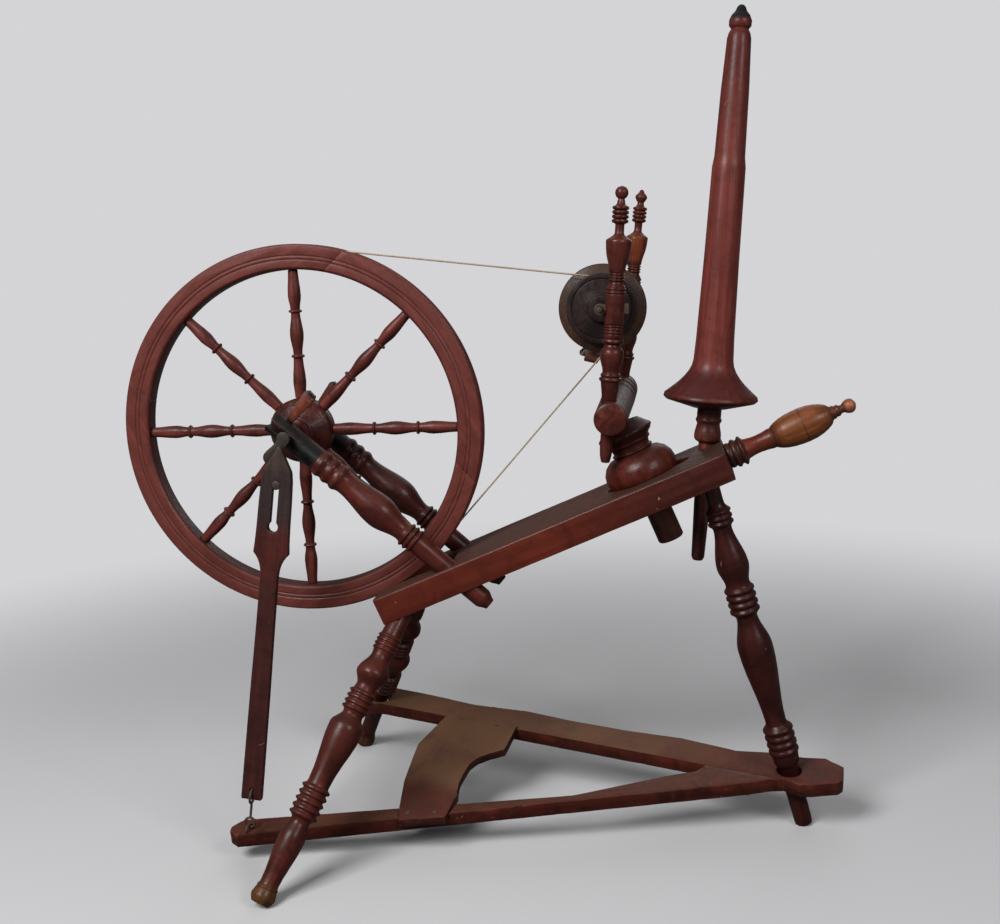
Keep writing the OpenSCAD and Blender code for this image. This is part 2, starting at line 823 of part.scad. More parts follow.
module leg_right() {
    n = right_len;
    neck = leg_neck_d / 2;
    ring = leg_ring_d / 2;
    vase = leg_vase_d / 2;
    end_r = leg_foot_d / 2 - 0.5;
    base = (treadle_right_h + treadle_t / 2) * 1.03 + 9;
    color(wood)
    stood()
    leg(right_foot, right_top, right_tenon_len)
        turned(concat(
            [[end_r, foot_station(right_foot, right_top, end_r)]],
            [[leg_foot_d / 2, 8], [leg_foot_d / 2, base]],
            [[neck * 1.25, base + 1], [neck * 1.3, n * 0.215]],
            rings(n * 0.215, n * 0.085, 4, neck * 1.25, ring),
            sweep_to(n * 0.305, neck, n * 0.53, vase, 6),
            sweep_to(n * 0.53, vase, n * 0.622, neck, 5),
            rings(n * 0.628, n * 0.08, 4, neck * 1.2, ring),
            sweep_to(n * 0.713, neck * 1.15, n * 0.765, vase * 0.92, 4),
            sweep_to(n * 0.765, vase * 0.92, n * 0.875, neck * 0.87, 5),
            rings(n * 0.878, n * 0.05, 3, neck, ring * 0.87),
            [[neck * 0.8, n * 0.935], [neck * 0.84, n + 30]]
        ));
}

// Left leg outline: the lower vase swells by the given share under the rings at station ring_t
module left_leg_turned(ring_t, swell) {
    n = left_len;
    neck = leg_neck_d / 2;
    ring = leg_ring_d / 2;
    vase = leg_vase_d / 2;
    end_r = neck * 0.85;
    end_t = foot_station(left_foot, left_top, end_r);
    turned(concat(
        [[end_r, end_t], [neck * 1.18, end_t + 6], [neck * 1.2, end_t + 9], [neck * 0.98, 23]],
        bead(23, 3, neck * 0.95, neck * 1.08),
        sweep_to(27, leg_foot_d / 2, ring_t * 0.76, neck * swell, 4),
        sweep_to(ring_t * 0.78, neck * swell, ring_t - 1, leg_foot_d / 2, 4),
        rings(ring_t, n * 0.11, 5, neck, ring),
        sweep_to(ring_t + n * 0.12, neck * 1.08, n * 0.6, vase, 5),
        sweep_to(n * 0.6, vase, n * 0.645, neck * 0.96, 4),
        rings(n * 0.652, n * 0.075, 4, neck, ring * 0.97),
        sweep_to(n * 0.742, neck, n * 0.785, vase * 0.96, 4),
        sweep_to(n * 0.785, vase * 0.96, n * 0.85, neck * 0.96, 4),
        rings(n * 0.865, n * 0.06, 4, neck, ring * 0.83),
        [[neck, n * 0.945], [neck * 1.02, n + 60]]
    ));
}

module leg_near() {
    color(wood)
    stood()
    leg(left_foot, left_top, left_tenon_len)
        left_leg_turned(left_len * 0.29, 1.26);
}

module leg_far() {
    color(wood)
    stood()
    leg(far_foot, far_top, left_tenon_len)
        left_leg_turned(left_len * 0.4, leg_foot_d / leg_neck_d);
}

// Treadle
module treadle_slab(t) {
    translate([0, 0, -t / 2])
        linear_extrude(t)
            children();
}

module far_bar_outline() {
    end_r = far_bar_w * 0.62;
    apex = pivot_len + apex_len;
    circle(r = end_r);
    polygon(concat(
        [[0, -end_r * 0.9], [end_r, far_front], [pivot_len, far_front]],
        [for (k = [1:4]) [pivot_len + 8 * k, far_front - 4 * sin(45 * k)]],
        [[apex - 4, far_front + 14], [apex, far_front + 22]],
        [[apex - 4, far_back + 8], [apex - 28, far_back + 20]],
        [[pivot_len + 2, far_back + 12], [pivot_len - 30, far_back + 12]],
        [for (k = [7:-1:1]) [k * pivot_len / 8, far_back + 3.5 * sin(140 * k) + k * 0.8]],
        [[0, end_r * 0.9]]
    ));
}

module treadle_far_bar() {
    dir_far = in_treadle(unit(far_top - far_foot));
    dir_right = in_treadle(unit(right_top - right_foot));
    color(wood)
    stood()
    treadle_frame()
        difference() {
            treadle_slab(treadle_t)
                far_bar_outline();
            tilted_hole([0, 0, 0], dir_far);
            tilted_hole([pivot_len, 0, 0], dir_right);
            tread_lap();
        }
}

// Leg hole, drilled along the leg as it lies at the middle of the rock
module tilted_hole(at, d) {
    mid = rock_angle / 2;
    lean = [d.x, d.y * cos(mid) - d.z * sin(mid), d.y * sin(mid) + d.z * cos(mid)];
    from_to(at - lean * treadle_t * 2, at + lean * treadle_t)
        cylinder(d = treadle_hole_d, h = treadle_t * 4);
}

module near_bar_outline() {
    half = near_bar_w / 2;
    a = near_bar_a;
    d = near_bar_dir;
    n = near_bar_side;
    polygon([
        a - n * half - d * half * 0.4,
        [pivot_len * 0.885, far_front * 2.6],
        [pivot_len * 0.93, far_front * 1.9],
        [pivot_len * 0.965, far_front * 1.3],
        near_bar_end,
        [pivot_len * 0.828, far_front],
        [pivot_len * 0.816, far_front * 1.75],
        [pivot_len * 0.76, far_front * 2.8],
        a + n * half + d * (pivot_len * 0.68),
        a + n * half - d * half * 0.1,
        a + n * half * 0.3 - d * half,
        a - n * half * 0.4 - d * half
    ]);
}

module treadle_near_bar() {
    color(wood)
    stood()
    treadle_frame()
        difference() {
            treadle_slab(treadle_t)
                near_bar_outline();
            tread_lap();
            for (side = [-1, 1])
                translate([hook_u, -hook_v + side * staple_r, treadle_t / 2 - staple_depth - seat_fit])
                    cylinder(d = hook_wire_d + 2 * seat_fit, h = treadle_t);
        }
}

module tread_outline() {
    polygon(concat(
        [on_board(0.21, 0.055), on_board(0.386, 0.055), on_board(0.4, 0.228)],
        [for (k = [1:3]) on_board(0.4 - 0.049 * sin(30 * k), 0.228 + 0.045 * k)],
        [for (k = [1:3]) on_board(0.351 + 0.034 * (1 - cos(30 * k)), 0.363 + 0.066 * k)],
        [on_board(0.387, 0.7), on_board(0.303, 0.772), on_board(0.281, 0.7)],
        [on_board(0.243, 0.54), on_board(0.204, 0.308)]
    ));
}

module tread_board() {
    color(wood_worn)
    stood()
    treadle_frame()
        translate([0, 0, tread_low])
            linear_extrude(tread_t)
                tread_outline();
}

// Recess in the bars that takes the tread board
module tread_lap() {
    translate([0, 0, tread_low])
        linear_extrude(treadle_t)
            tread_outline();
}

// Iron staple in the near bar that the footman's hook hangs in
module staple_frame() {
    treadle_frame()
        translate([hook_u, -hook_v, treadle_t / 2])
            children();
}

module treadle_staple() {
    color(iron)
    stood()
    staple_frame() {
        rotate([90, 0, 90])
            rotate_extrude(angle = 180)
                translate([staple_r, 0])
                    circle(d = hook_wire_d);
        for (side = [-1, 1])
            translate([0, side * staple_r, -staple_depth])
                cylinder(d = hook_wire_d, h = staple_depth);
    }
}

module treadle_nails() {
    nail_top = treadle_t / 2 + tread_rise;
    color(iron)
    stood()
    treadle_frame()
        for (p = nail_places)
            translate([p.x, p.y, nail_top])
                turned([[3.2, 0], [3.2, 0.5], [1.8, 1.3]]);
}

// Footman, in a frame whose Z runs down from the crank pin to the treadle's eye and whose Y
// points out of the board's near face
module footman_frame() {
    multmatrix([
        [footman_across.x, footman_out.x, footman_down.x, footman_top.x],
        [footman_across.y, footman_out.y, footman_down.y, footman_top.y],
        [footman_across.z, footman_out.z, footman_down.z, footman_top.z]
    ])
        children();
}

module footman_outline() {
    head = footman_head_w / 2;
    shank = footman_w / 2;
    polygon(concat(
        [[0, footman_tip], [head * 0.82, footman_tip * 0.2], [head, -12]],
        [[head, -footman_board_len * 0.2], [head * 0.8, -footman_board_len * 0.25]],
        [[shank * 0.8, -footman_board_len * 0.29], [shank * 0.85, -footman_board_len * 0.4]],
        [[shank, -footman_board_len]],
        [[-shank, -footman_board_len]],
        [[-shank * 0.85, -footman_board_len * 0.4], [-shank * 0.8, -footman_board_len * 0.29]],
        [[-head * 0.8, -footman_board_len * 0.25], [-head, -footman_board_len * 0.2]],
        [[-head, -12], [-head * 0.82, footman_tip * 0.2]]
    ));
}

// Turn an outline so that its height runs up the board
module footman_slab(t) {
    rotate([-90, 0, 0])
        translate([0, 0, -t / 2])
            linear_extrude(t)
                children();
}

module footman_hole(z, d) {
    translate([0, 0, z])
        rotate([-90, 0, 0])
            cylinder(d = d, h = 2 * footman_t, center = true);
}

module footman_board() {
    slot_len = keyhole_len - keyhole_d / 2;
    color(wood)
    stood()
    footman_frame()
        difference() {
            footman_slab(footman_t)
                footman_outline();
            footman_hole(0, crank_end_d + 2 * seat_fit);
            translate([-keyhole_slot_w / 2, -footman_t, 0])
                cube([keyhole_slot_w, 2 * footman_t, slot_len]);
            footman_hole(slot_len, keyhole_d);
            footman_hole(hook_hole_z, hook_hole_d);
        }
}

// Wire hook: a ring through the board's hole, a straight stem and an eye in the staple
module footman_hook() {
    stem_a = hook_ring_z + hook_loop_r;
    stem_b = hook_low_z - 2 * hook_eye_r;
    color(iron)
    stood()
    footman_frame() {
        translate([0, 0, hook_ring_z])
            rotate([0, 90, 0])
                hook_ring(hook_loop_r);
        translate([0, 0, stem_a])
            cylinder(d = hook_wire_d, h = stem_b - stem_a);
        translate([0, 0, hook_low_z - hook_eye_r])
            rotate([90, 0, 0])
                hook_ring(hook_eye_r);
    }
}

module hook_ring(r) {
    rotate_extrude()
        translate([r, 0])
            circle(d = hook_wire_d);
}

// End of the crank pin, held in the top of the keyhole
module crank_pin_end() {
    color(iron)
    stood()
    footman_frame()
        rotate([-90, 0, 0])
            cylinder(d = crank_end_d, h = footman_t, center = true);
}

// Mother-of-all
function cove(t, w, r, depth) =
    [for (k = [0:4]) [r - depth * sin(45 * k), t + w * (k / 4 - 0.5)]];

module moa_turned() {
    n = moa_near + moa_far;
    far_r = moa_far_d / 2;
    from_to([moa_centre.x, -moa_near, moa_centre.z], [moa_centre.x, moa_far, moa_centre.z])
        turned(concat(
            [[moa_r - 2.5, 0], [moa_r - 0.6, 1], [moa_r, 3]],
            [[moa_r, 8], [moa_r - 1.2, 9], [moa_r, 10]],
            cove(n - 96, 22, far_r, 4),
            [[far_r, n - 78], [far_r - 1.2, n - 77], [far_r, n - 76]],
            cove(n - 54, 16, far_r, 3.5),
            [[far_r, n - 10], [far_r - 1.2, n - 9], [far_r, n - 8]],
            [[far_r, n - 3], [far_r - 0.6, n - 1], [far_r - 2.5, n]]
        ));
}

module mother_of_all() {
    color(wood)
    stood()
    difference() {
        moa_turned();
        maiden_hole(-maiden_near_y, maiden_near_lean);
        maiden_hole(maiden_far_y, maiden_far_lean);
        collar_frame()
            translate([0, 0, moa_h - moa_r - cut])
                cylinder(d = collar_tenon_d + 2 * seat_fit, h = moa_r + 8 + cut + seat_fit);
    }
}

module collar_frame() {
    table_frame()
        translate([collar_s, 0, 0])
            children();
}

module moa_collar() {
    belly = collar_d / 2;
    waist = collar_waist_d / 2;
    rim = collar_rim_d / 2;
    collar_top = moa_h - moa_r + 4;
    color(wood_dark)
    stood()
    difference() {
        union() {
            difference() {
                collar_frame()
                    turned(concat(
                        [[shank_d / 2 - 2, -table_t - shank_drop], [shank_d / 2, -table_t - shank_drop + 2]],
                        [[shank_d / 2, face_gap], [belly * 0.95, face_gap]],
                        sweep_to(2, belly * 0.97, 9, belly, 2),
                        [for (k = [1:4]) [waist + (belly - waist) * cos(22 * k), 9 + 24 * sin(22 * k)]],
                        bead(moa_h * 0.39, 4, waist, waist * 1.12),
                        [[waist, moa_h * 0.45], [waist * 1.04, moa_h * 0.5]],
                        [[waist * 1.16, moa_h * 0.52], [waist * 1.18, moa_h * 0.55]],
                        sweep_to(moa_h * 0.555, waist * 1.14, moa_h * 0.65, rim * 0.97, 3),
                        [[rim, moa_h * 0.665], [rim, moa_h * 0.69], [rim * 0.84, moa_h * 0.745]],
                        [[rim * 0.66, collar_top]]
                    ));
                moa_turned();
            }
            collar_frame()
                translate([0, 0, moa_h - moa_r - 6])
                    cylinder(d = collar_tenon_d, h = moa_r + 14);
        }
        table_frame()
            translate([collar_s - shank_d, 0, screw_h])
                rotate([0, 90, 0])
                    cylinder(d = screw_d + 2 * run_fit, h = 2 * shank_d);
    }
}

// Maidens, in a frame whose Z runs up from the mother-of-all's middle
function maiden_x(y, lean, h) = moa_centre.x - (y < 0 ? maiden_near_shift : 0) + h * tan(lean);

module maiden_frame(y, lean) {
    translate([maiden_x(y, lean, 0), y, moa_centre.z])
        rotate([0, lean, 0])
            children();
}

module maiden_hole(y, lean) {
    maiden_frame(y, lean)
        cylinder(d = maiden_tenon_d + 2 * seat_fit, h = 3 * moa_d, center = true);
}

module maiden_turned(n, acorn) {
    block = maiden_block_d / 2;
    cup = maiden_cup_d / 2;
    turned(concat(
        [[block * 0.8, 0], [block * 0.8, n * 0.1], [block * 0.96, n * 0.152]],
        bead(n * 0.16, n * 0.018, block, cup * 0.9),
        bead(n * 0.18, n * 0.014, block * 0.94, block * 1.04),
        sweep_to(n * 0.2, block * 0.85, n * 0.268, cup * 0.92, 4),
        sweep_to(n * 0.29, cup * 0.92, n * 0.32, block * 0.8, 3),
        bead(n * 0.326, n * 0.022, block * 0.9, cup * 0.88),
        [[block, n * 0.352], [block, n * 0.366]],
        rings(n * 0.368, n * 0.04, 3, block * 0.86, block),
        [[block, n * 0.412], [block * 0.96, n * 0.48], [block, n * 0.538]],
        rings(n * 0.54, n * 0.03, 2, block * 0.93, block * 1.04),
        [[block * 0.9, n * 0.574], [block * 0.7, n * 0.587]],
        rings(n * 0.594, n * 0.038, 3, block * 0.7, block * 0.84),
        [[block * 0.8, n * 0.636], [cup * 0.66, n * 0.655], [cup * 0.75, n * 0.677]],
        [[cup * 0.89, n * 0.705], [cup * 0.96, n * 0.733], [cup, n * 0.766], [cup * 0.96, n * 0.772]],
        [[cup * 0.71, n * 0.781], [block * 0.55, n * 0.793], [block * 0.46, n * 0.802]],
        [[block * 0.46, n * 0.838]],
        beads(n * 0.842, n * 0.075, 4, block * 0.6, block * 0.86),
        [[block * 0.42, n * 0.925], [block * 0.38, n * 0.938]],
        acorn ? maiden_acorn(n, cup) : ball(n - cup * 0.52, cup * 0.52)
    ));
}

function maiden_acorn(n, cup) =
    [[cup * 0.42, n * 0.947], [cup * 0.56, n * 0.962], [cup * 0.5, n * 0.972],
        [cup * 0.26, n * 0.985], [cup * 0.2, n * 0.993], [cup * 0.1, n]];

module maiden(y, lean, n, acorn, tint, passing_d) {
    color(tint)
    stood()
    difference() {
        union() {
            difference() {
                maiden_frame(y, lean)
                    maiden_turned(n, acorn);
                moa_turned();
            }
            maiden_frame(y, lean)
                translate([0, 0, -maiden_peg_len])
                    turned([
                        [maiden_tenon_d * 0.3, 0],
                        [maiden_tenon_d * 0.36, 1.5],
                        [maiden_tenon_d * 0.46, 8],
                        [maiden_tenon_d / 2, 16],
                        [maiden_tenon_d / 2, maiden_peg_len + moa_r + 6]
                    ]);
        }
        leather_shape(y, seat_fit, lean);
        translate([spindle_x, y, spindle_z])
            rotate([-90, 0, 0])
                cylinder(d = passing_d + 2 * spindle_room, h = 2 * maiden_cup_d, center = true);
    }
}

// Leather bearing: a strap through the maiden, with an eye for the spindle
module leather_shape(y, gap, lean) {
    t = leather_t + 2 * gap;
    tail_x = maiden_x(y, lean, spindle_h) + maiden_block_d / 2 + 5;
    translate([spindle_x, y - t / 2, spindle_z - leather_w / 2 - gap])
        cube([tail_x - spindle_x, t, leather_w + 2 * gap]);
}

module leather_bearing(y, hole_d, lean) {
    color(leather)
    stood()
    difference() {
        union() {
            leather_shape(y, 0, lean);
            translate([spindle_x, y - leather_t / 2, spindle_z])
                rotate([-90, 0, 0])
                    cylinder(d = hole_d + 2 * leather_rim, h = leather_t);
        }
        translate([spindle_x, y - leather_t, spindle_z])
            rotate([-90, 0, 0])
                cylinder(d = hole_d + 2 * run_fit, h = 2 * leather_t);
    }
}

// Spindle frame: Z runs along the spindle towards the spinner, from the wheel's plane
module spindle_frame() {
    translate([spindle_x, 0, spindle_z])
        rotate([-90, 0, 0])
            children();
}

module spindle() {
    color(iron)
    stood()
    spindle_frame()
        difference() {
            turned([
                [spindle_d / 2 - 1, spindle_end_y],
                [spindle_d / 2, spindle_end_y + 2],
                [spindle_d / 2, flyer_shoulder_y],
                [orifice_d / 2, flyer_shoulder_y],
                [orifice_d / 2, orifice_end_y - 5],
                [orifice_d / 2 + 2, orifice_end_y - 4],
                [orifice_d / 2 + 2, orifice_end_y]
            ]);
            translate([0, 0, flyer_shoulder_y + 4])
                cylinder(d = orifice_bore, h = orifice_end_y - flyer_shoulder_y);
            translate([0, 0, flyer_shoulder_y + 12])
                rotate([0, 90, 0])
                    cylinder(d = orifice_bore - 2, h = orifice_d);
        }
}

module whorl() {
    color(wood_black)
    stood()
    spindle_frame()
        difference() {
            turned([
                [whorl_r * 0.36, -whorl_w / 2 - 6],
                [whorl_r * 0.4, -whorl_w / 2 - 4],
                [whorl_r * 0.4, -whorl_w / 2],
                [whorl_r * 0.82, -whorl_w / 2],
                [whorl_r * 0.84, -whorl_w / 2 + 1],
                [whorl_r * 0.86, -whorl_w / 2],
                [whorl_r - 1, -whorl_w / 2],
                [whorl_r, -whorl_w / 2 + 1],
                [whorl_r, -5],
                [whorl_groove_r, -band_d / 2 - 0.5],
                [whorl_groove_r, band_d / 2 + 0.5],
                [whorl_r, 5],
                [whorl_r, whorl_w / 2 - 1],
                [whorl_r - 1, whorl_w / 2]
            ]);
            cylinder(d = spindle_d + 2 * seat_fit, h = 4 * whorl_w, center = true);
        }
}

module bobbin() {
    barrel = bobbin_barrel_d / 2;
    disc = bobbin_disc_d / 2;
    end = bobbin_end_d / 2;
    color(wood_brown)
    stood()
    spindle_frame()
        difference() {
            turned(concat(
                [[disc - 2, bobbin_y0], [disc, bobbin_y0 + 1.5]],
                [[disc, bobbin_y0 + 3], [disc - 4, bobbin_y0 + 5], [disc, bobbin_y0 + 7]],
                [[disc, bobbin_y0 + bobbin_disc_w - 1.5], [disc - 2, bobbin_y0 + bobbin_disc_w]],
                [[barrel + 3, bobbin_y0 + bobbin_disc_w]],
                sweep_to(bobbin_y0 + bobbin_disc_w + 2, barrel + 2, bobbin_y0 + bobbin_disc_w + 8, barrel, 2),
                sweep_to(bobbin_y1 - 15, barrel, bobbin_y1 - 9, barrel + 2, 2),
                [[end - 1, bobbin_y1 - 8], [end, bobbin_y1 - 7]],
                [[end, bobbin_y1 - 1], [end - 1, bobbin_y1]]
            ));
            translate([0, 0, bobbin_y0 - cut])
                cylinder(d = spindle_d + 2 * run_fit, h = bobbin_y1 - bobbin_y0 + 2 * cut);
        }
}

// Flyer: a forked wooden body with two long arms
module flyer_frame() {
    spindle_frame()
        rotate([0, 0, flyer_turn])
            children();
}

module flyer() {
    outer = flyer_arm_r + flyer_arm_t / 2;
    inner = flyer_arm_r - flyer_arm_t / 2;
    bend = 34;
    color(wood)
    stood()
    flyer_frame()
        difference() {
            union() {
                rotate([90, 0, 0])
                    translate([0, 0, -flyer_arm_w / 2])
                        linear_extrude(flyer_arm_w)
                            difference() {
                                flyer_outline(outer, flyer_shoulder_y, bend);
                                flyer_outline_inner(inner, flyer_inner_y, bend - flyer_arm_t * 0.6);
                            }
                translate([0, 0, flyer_inner_y])
                    cylinder(d = flyer_boss_d, h = flyer_head_len);
            }
            cylinder(d = spindle_d + 2 * seat_fit, h = 2 * flyer_shoulder_y);
        }
}

module flyer_outline(r, top, bend) {
    polygon(concat(
        [[-r, flyer_tip_y + 3], [-r + 3, flyer_tip_y], [r - 3, flyer_tip_y], [r, flyer_tip_y + 3]],
        [for (k = [0:6]) [r - bend + bend * cos(15 * k), top - bend * 0.5 + bend * 0.5 * sin(15 * k)]],
        [for (k = [6:-1:0]) [-r + bend - bend * cos(15 * k), top - bend * 0.5 + bend * 0.5 * sin(15 * k)]]
    ));
}

module flyer_outline_inner(r, top, bend) {
    polygon(concat(
        [[-r, flyer_tip_y - 10], [r, flyer_tip_y - 10]],
        [for (k = [0:6]) [r - bend + bend * cos(15 * k), top - bend * 0.5 + bend * 0.5 * sin(15 * k)]],
        [for (k = [6:-1:0]) [-r + bend - bend * cos(15 * k), top - bend * 0.5 + bend * 0.5 * sin(15 * k)]]
    ));
}

// Wire hooks along the flyer arms, on opposite faces
module flyer_hook_row() {
    wire = 1.6;
    bow = 3.5;
    first = flyer_tip_y + 8;
    step = (flyer_inner_y - 26 - first) / (flyer_hooks - 1);
    color(iron)
    stood()
    flyer_frame()
        for (side = [-1, 1])
            for (i = [0:flyer_hooks - 1])
                translate([side * flyer_arm_r, side * flyer_arm_w / 2, first + i * step])
                    rotate([0, 0, side > 0 ? 0 : 180])
                        flyer_hook(wire, bow);
}

module flyer_hook(wire, bow) {
    rotate([-90, 0, 0])
        cylinder(d = wire, h = bow);
    translate([-bow, bow, 0])
        rotate_extrude(angle = 200)
            translate([bow, 0])
                circle(d = wire);
}

// Drive band: one closed tube round the wheel and the whorl, swept through places given as
// [radius, turn, distance of the pulley]
band_sides = 8;
band_wheel_steps = 52;
band_whorl_steps = 14;
band_places = concat(
    [for (k = [0:band_wheel_steps])
        [band_wheel_r, 90 - band_open + (180 + 2 * band_open) * k / band_wheel_steps, 0]],
    [for (k = [0:band_whorl_steps])
        [band_whorl_r, 270 + band_open + (180 - 2 * band_open) * k / band_whorl_steps, norm(band_span)]]
);
function band_point(p, k) =
    let (r = p.x + band_d / 2 * cos(360 * k / band_sides))
    [p.z + r * cos(p.y), r * sin(p.y), band_d / 2 * sin(360 * k / band_sides)];

module drive_band() {
    n = len(band_places);
    m = band_sides;
    color(cord)
    stood()
    translate(wheel_centre)
        rotate([90, 0, 0])
            rotate([0, 0, band_tilt])
                polyhedron(
                    points = [for (p = band_places) for (k = [0:m - 1]) band_point(p, k)],
                    faces = [for (i = [0:n - 1]) for (k = [0:m - 1])
                        let (j = (i + 1) % n, l = (k + 1) % m)
                        each [
                            [i * m + k, i * m + l, j * m + l],
                            [i * m + k, j * m + l, j * m + k]
                        ]]
                );
}

// Distaff, in a frame whose Z runs up its lean from the table's upper face
module distaff_frame() {
    translate(distaff_base)
        rotate([0, distaff_lean, 0])
            children();
}

module distaff_stem() {
    stem = distaff_stem_d / 2;
    lift = tan(table_slope + distaff_lean) * stem * 1.62 + face_gap;
    color(wood)
    stood()
    distaff_frame()
        turned(concat(
            [[stem * 0.6, -distaff_tail], [stem * 0.8, -distaff_tail + 4]],
            [[stem, -distaff_tail * 0.5], [stem, lift]],
            sweep_to(lift, stem * 1.35, lift + 10, stem * 1.62, 3),
            sweep_to(lift + 10, stem * 1.62, lift + 17, stem * 1.2, 3),
            bead(lift + 18, 5, stem * 1.2, stem * 1.45),
            [[stem * 1.3, lift + 25], [stem * 1.35, skirt_h]],
            [[stem * 0.8, skirt_h], [stem * 0.8, stem_top]]
        ));
}

module distaff_head() {
    stem = distaff_stem_d / 2;
    head = head_d / 2;
    color(wood)
    stood()
    distaff_frame()
        translate([0, 0, skirt_h])
            difference() {
                turned(concat(
                    [[head * 0.9, 0], [skirt_d / 2 - 3, 9], [skirt_d / 2, 12], [skirt_d / 2 - 1, 16]],
                    [for (k = [1:6]) [
                        head + (skirt_d / 2 - head) * pow(1 - k / 6, 1.8),
                        16 + 42 * k / 6
                    ]],
                    [[head * 0.95, head_len * 0.18], [head * 0.87, head_len * 0.38]],
                    [[head * 0.82, head_len * 0.61], [head * 0.75, head_len * 0.635]],
                    [[head * 0.68, head_len * 0.8], [head * 0.58, head_len * 0.92]],
                    [[head * 0.52, head_len * 0.933], [head * 0.42, head_len * 0.942]],
                    [[head * 0.54, head_len * 0.95], [head * 0.55, head_len * 0.962]],
                    sweep_to(head_len * 0.965, head * 0.53, head_len * 0.995, head * 0.2, 3),
                    [[head * 0.1, head_len]]
                ));
                translate([0, 0, -cut])
                    cylinder(r = stem * 0.8 + seat_fit, h = stem_top - skirt_h + cut + seat_fit);
            }
}

// Tension screw, in a frame whose Z runs out of the table's high end
module screw_frame() {
    table_frame()
        translate([table_len, 0, screw_h])
            rotate([0, 90, 0])
                children();
}

module tension_rod() {
    color(wood_dark)
    stood()
    screw_frame()
        translate([0, 0, slot_s0 - screw_pilot + 1 - table_len])
            cylinder(d = screw_d, h = table_len - slot_s0 + screw_pilot - 1 + face_gap + screw_seat);
}

module tension_handle() {
    n = handle_len;
    grip = grip_d / 2;
    color(wood_brown)
    stood()
    screw_frame()
        difference() {
            turned(concat(
                [[grip * 0.85, face_gap], [grip * 0.92, 2]],
                [[grip * 0.92, n * 0.055], [grip * 0.8, n * 0.065]],
                beads(n * 0.07, n * 0.095, 2, grip * 0.85, grip),
                [[grip * 0.8, n * 0.175], [grip * 0.82, n * 0.34]],
                bead(n * 0.35, n * 0.03, grip * 0.68, grip * 0.78),
                sweep_to(n * 0.39, grip * 0.72, n * 0.69, grip, 5),
                sweep_to(n * 0.69, grip, n * 0.82, grip * 0.3, 5),
                bead(n * 0.83, n * 0.025, grip * 0.25, grip * 0.42),
                [[grip * 0.22, n * 0.87], [grip * 0.22, n * 0.895]],
                ball(n - grip * 0.45, grip * 0.45)
            ));
            translate([0, 0, -cut])
                cylinder(d = screw_d + 2 * seat_fit, h = screw_seat + face_gap + cut + seat_fit);
        }
}

table();
leg_right();
leg_near();
leg_far();
wheel_post(-1);  // post_near
wheel_post(1);  // post_far
keeper(-1);  // keeper_near
keeper(1);  // keeper_far
hub();
axle();
spoke(0);  // spoke_1
spoke(1);  // spoke_2
spoke(2);  // spoke_3
spoke(3);  // spoke_4
spoke(4);  // spoke_5
spoke(5);  // spoke_6
spoke(6);  // spoke_7
spoke(7);  // spoke_8
felloe(0);  // felloe_1
felloe(1);  // felloe_2
felloe(2);  // felloe_3
felloe(3);  // felloe_4
mother_of_all();
moa_collar();
maiden(-maiden_near_y, maiden_near_lean, maiden_near_len, false, wood, spindle_d);  // maiden_near
maiden(maiden_far_y, maiden_far_lean, maiden_far_len, true, wood_brown, orifice_d);  // maiden_far
leather_bearing(-maiden_near_y, spindle_d, maiden_near_lean);  // leather_near
leather_bearing(maiden_far_y, orifice_d, maiden_far_lean);  // leather_far
spindle();
whorl();
flyer();
flyer_hook_row();
bobbin();
treadle_far_bar();
treadle_near_bar();
tread_board();
treadle_nails();
treadle_staple();
footman_hook();
footman_board();
crank_pin_end();
distaff_stem();
distaff_head();
tension_rod();
tension_handle();
drive_band();
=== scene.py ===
import json
import math

import bpy
import numpy as np
from mathutils import Matrix, Vector, noise


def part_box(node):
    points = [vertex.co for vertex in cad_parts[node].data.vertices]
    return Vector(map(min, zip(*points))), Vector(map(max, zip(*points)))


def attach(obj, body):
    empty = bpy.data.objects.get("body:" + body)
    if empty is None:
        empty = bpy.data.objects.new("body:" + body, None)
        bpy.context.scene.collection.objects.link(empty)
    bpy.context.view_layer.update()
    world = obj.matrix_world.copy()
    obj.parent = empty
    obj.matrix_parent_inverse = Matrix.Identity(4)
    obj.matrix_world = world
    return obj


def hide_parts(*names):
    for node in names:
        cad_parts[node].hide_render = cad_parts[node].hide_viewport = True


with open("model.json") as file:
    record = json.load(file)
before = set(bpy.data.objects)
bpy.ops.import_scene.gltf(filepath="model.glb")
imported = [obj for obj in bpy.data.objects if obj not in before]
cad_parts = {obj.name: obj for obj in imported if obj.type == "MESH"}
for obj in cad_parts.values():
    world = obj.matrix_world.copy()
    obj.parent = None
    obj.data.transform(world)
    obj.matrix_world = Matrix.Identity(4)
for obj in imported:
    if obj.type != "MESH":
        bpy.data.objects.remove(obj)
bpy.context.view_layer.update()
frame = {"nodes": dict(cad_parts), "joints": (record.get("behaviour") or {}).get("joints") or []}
scene = bpy.context.scene
scene.view_settings.view_transform = "Standard"

# Camera: it stands a metre and a half in front of the wheel, a little above the axle, and looks
# slightly down and to the left, tipped a little clockwise.
camera_place = Vector((0.24399, -1.46891, 0.7018))
camera_turn = math.radians(8.46)
camera_dip = math.radians(9.12)
camera_tip = math.radians(-2.66)
camera_lens = 43.2
camera_film = 36.0

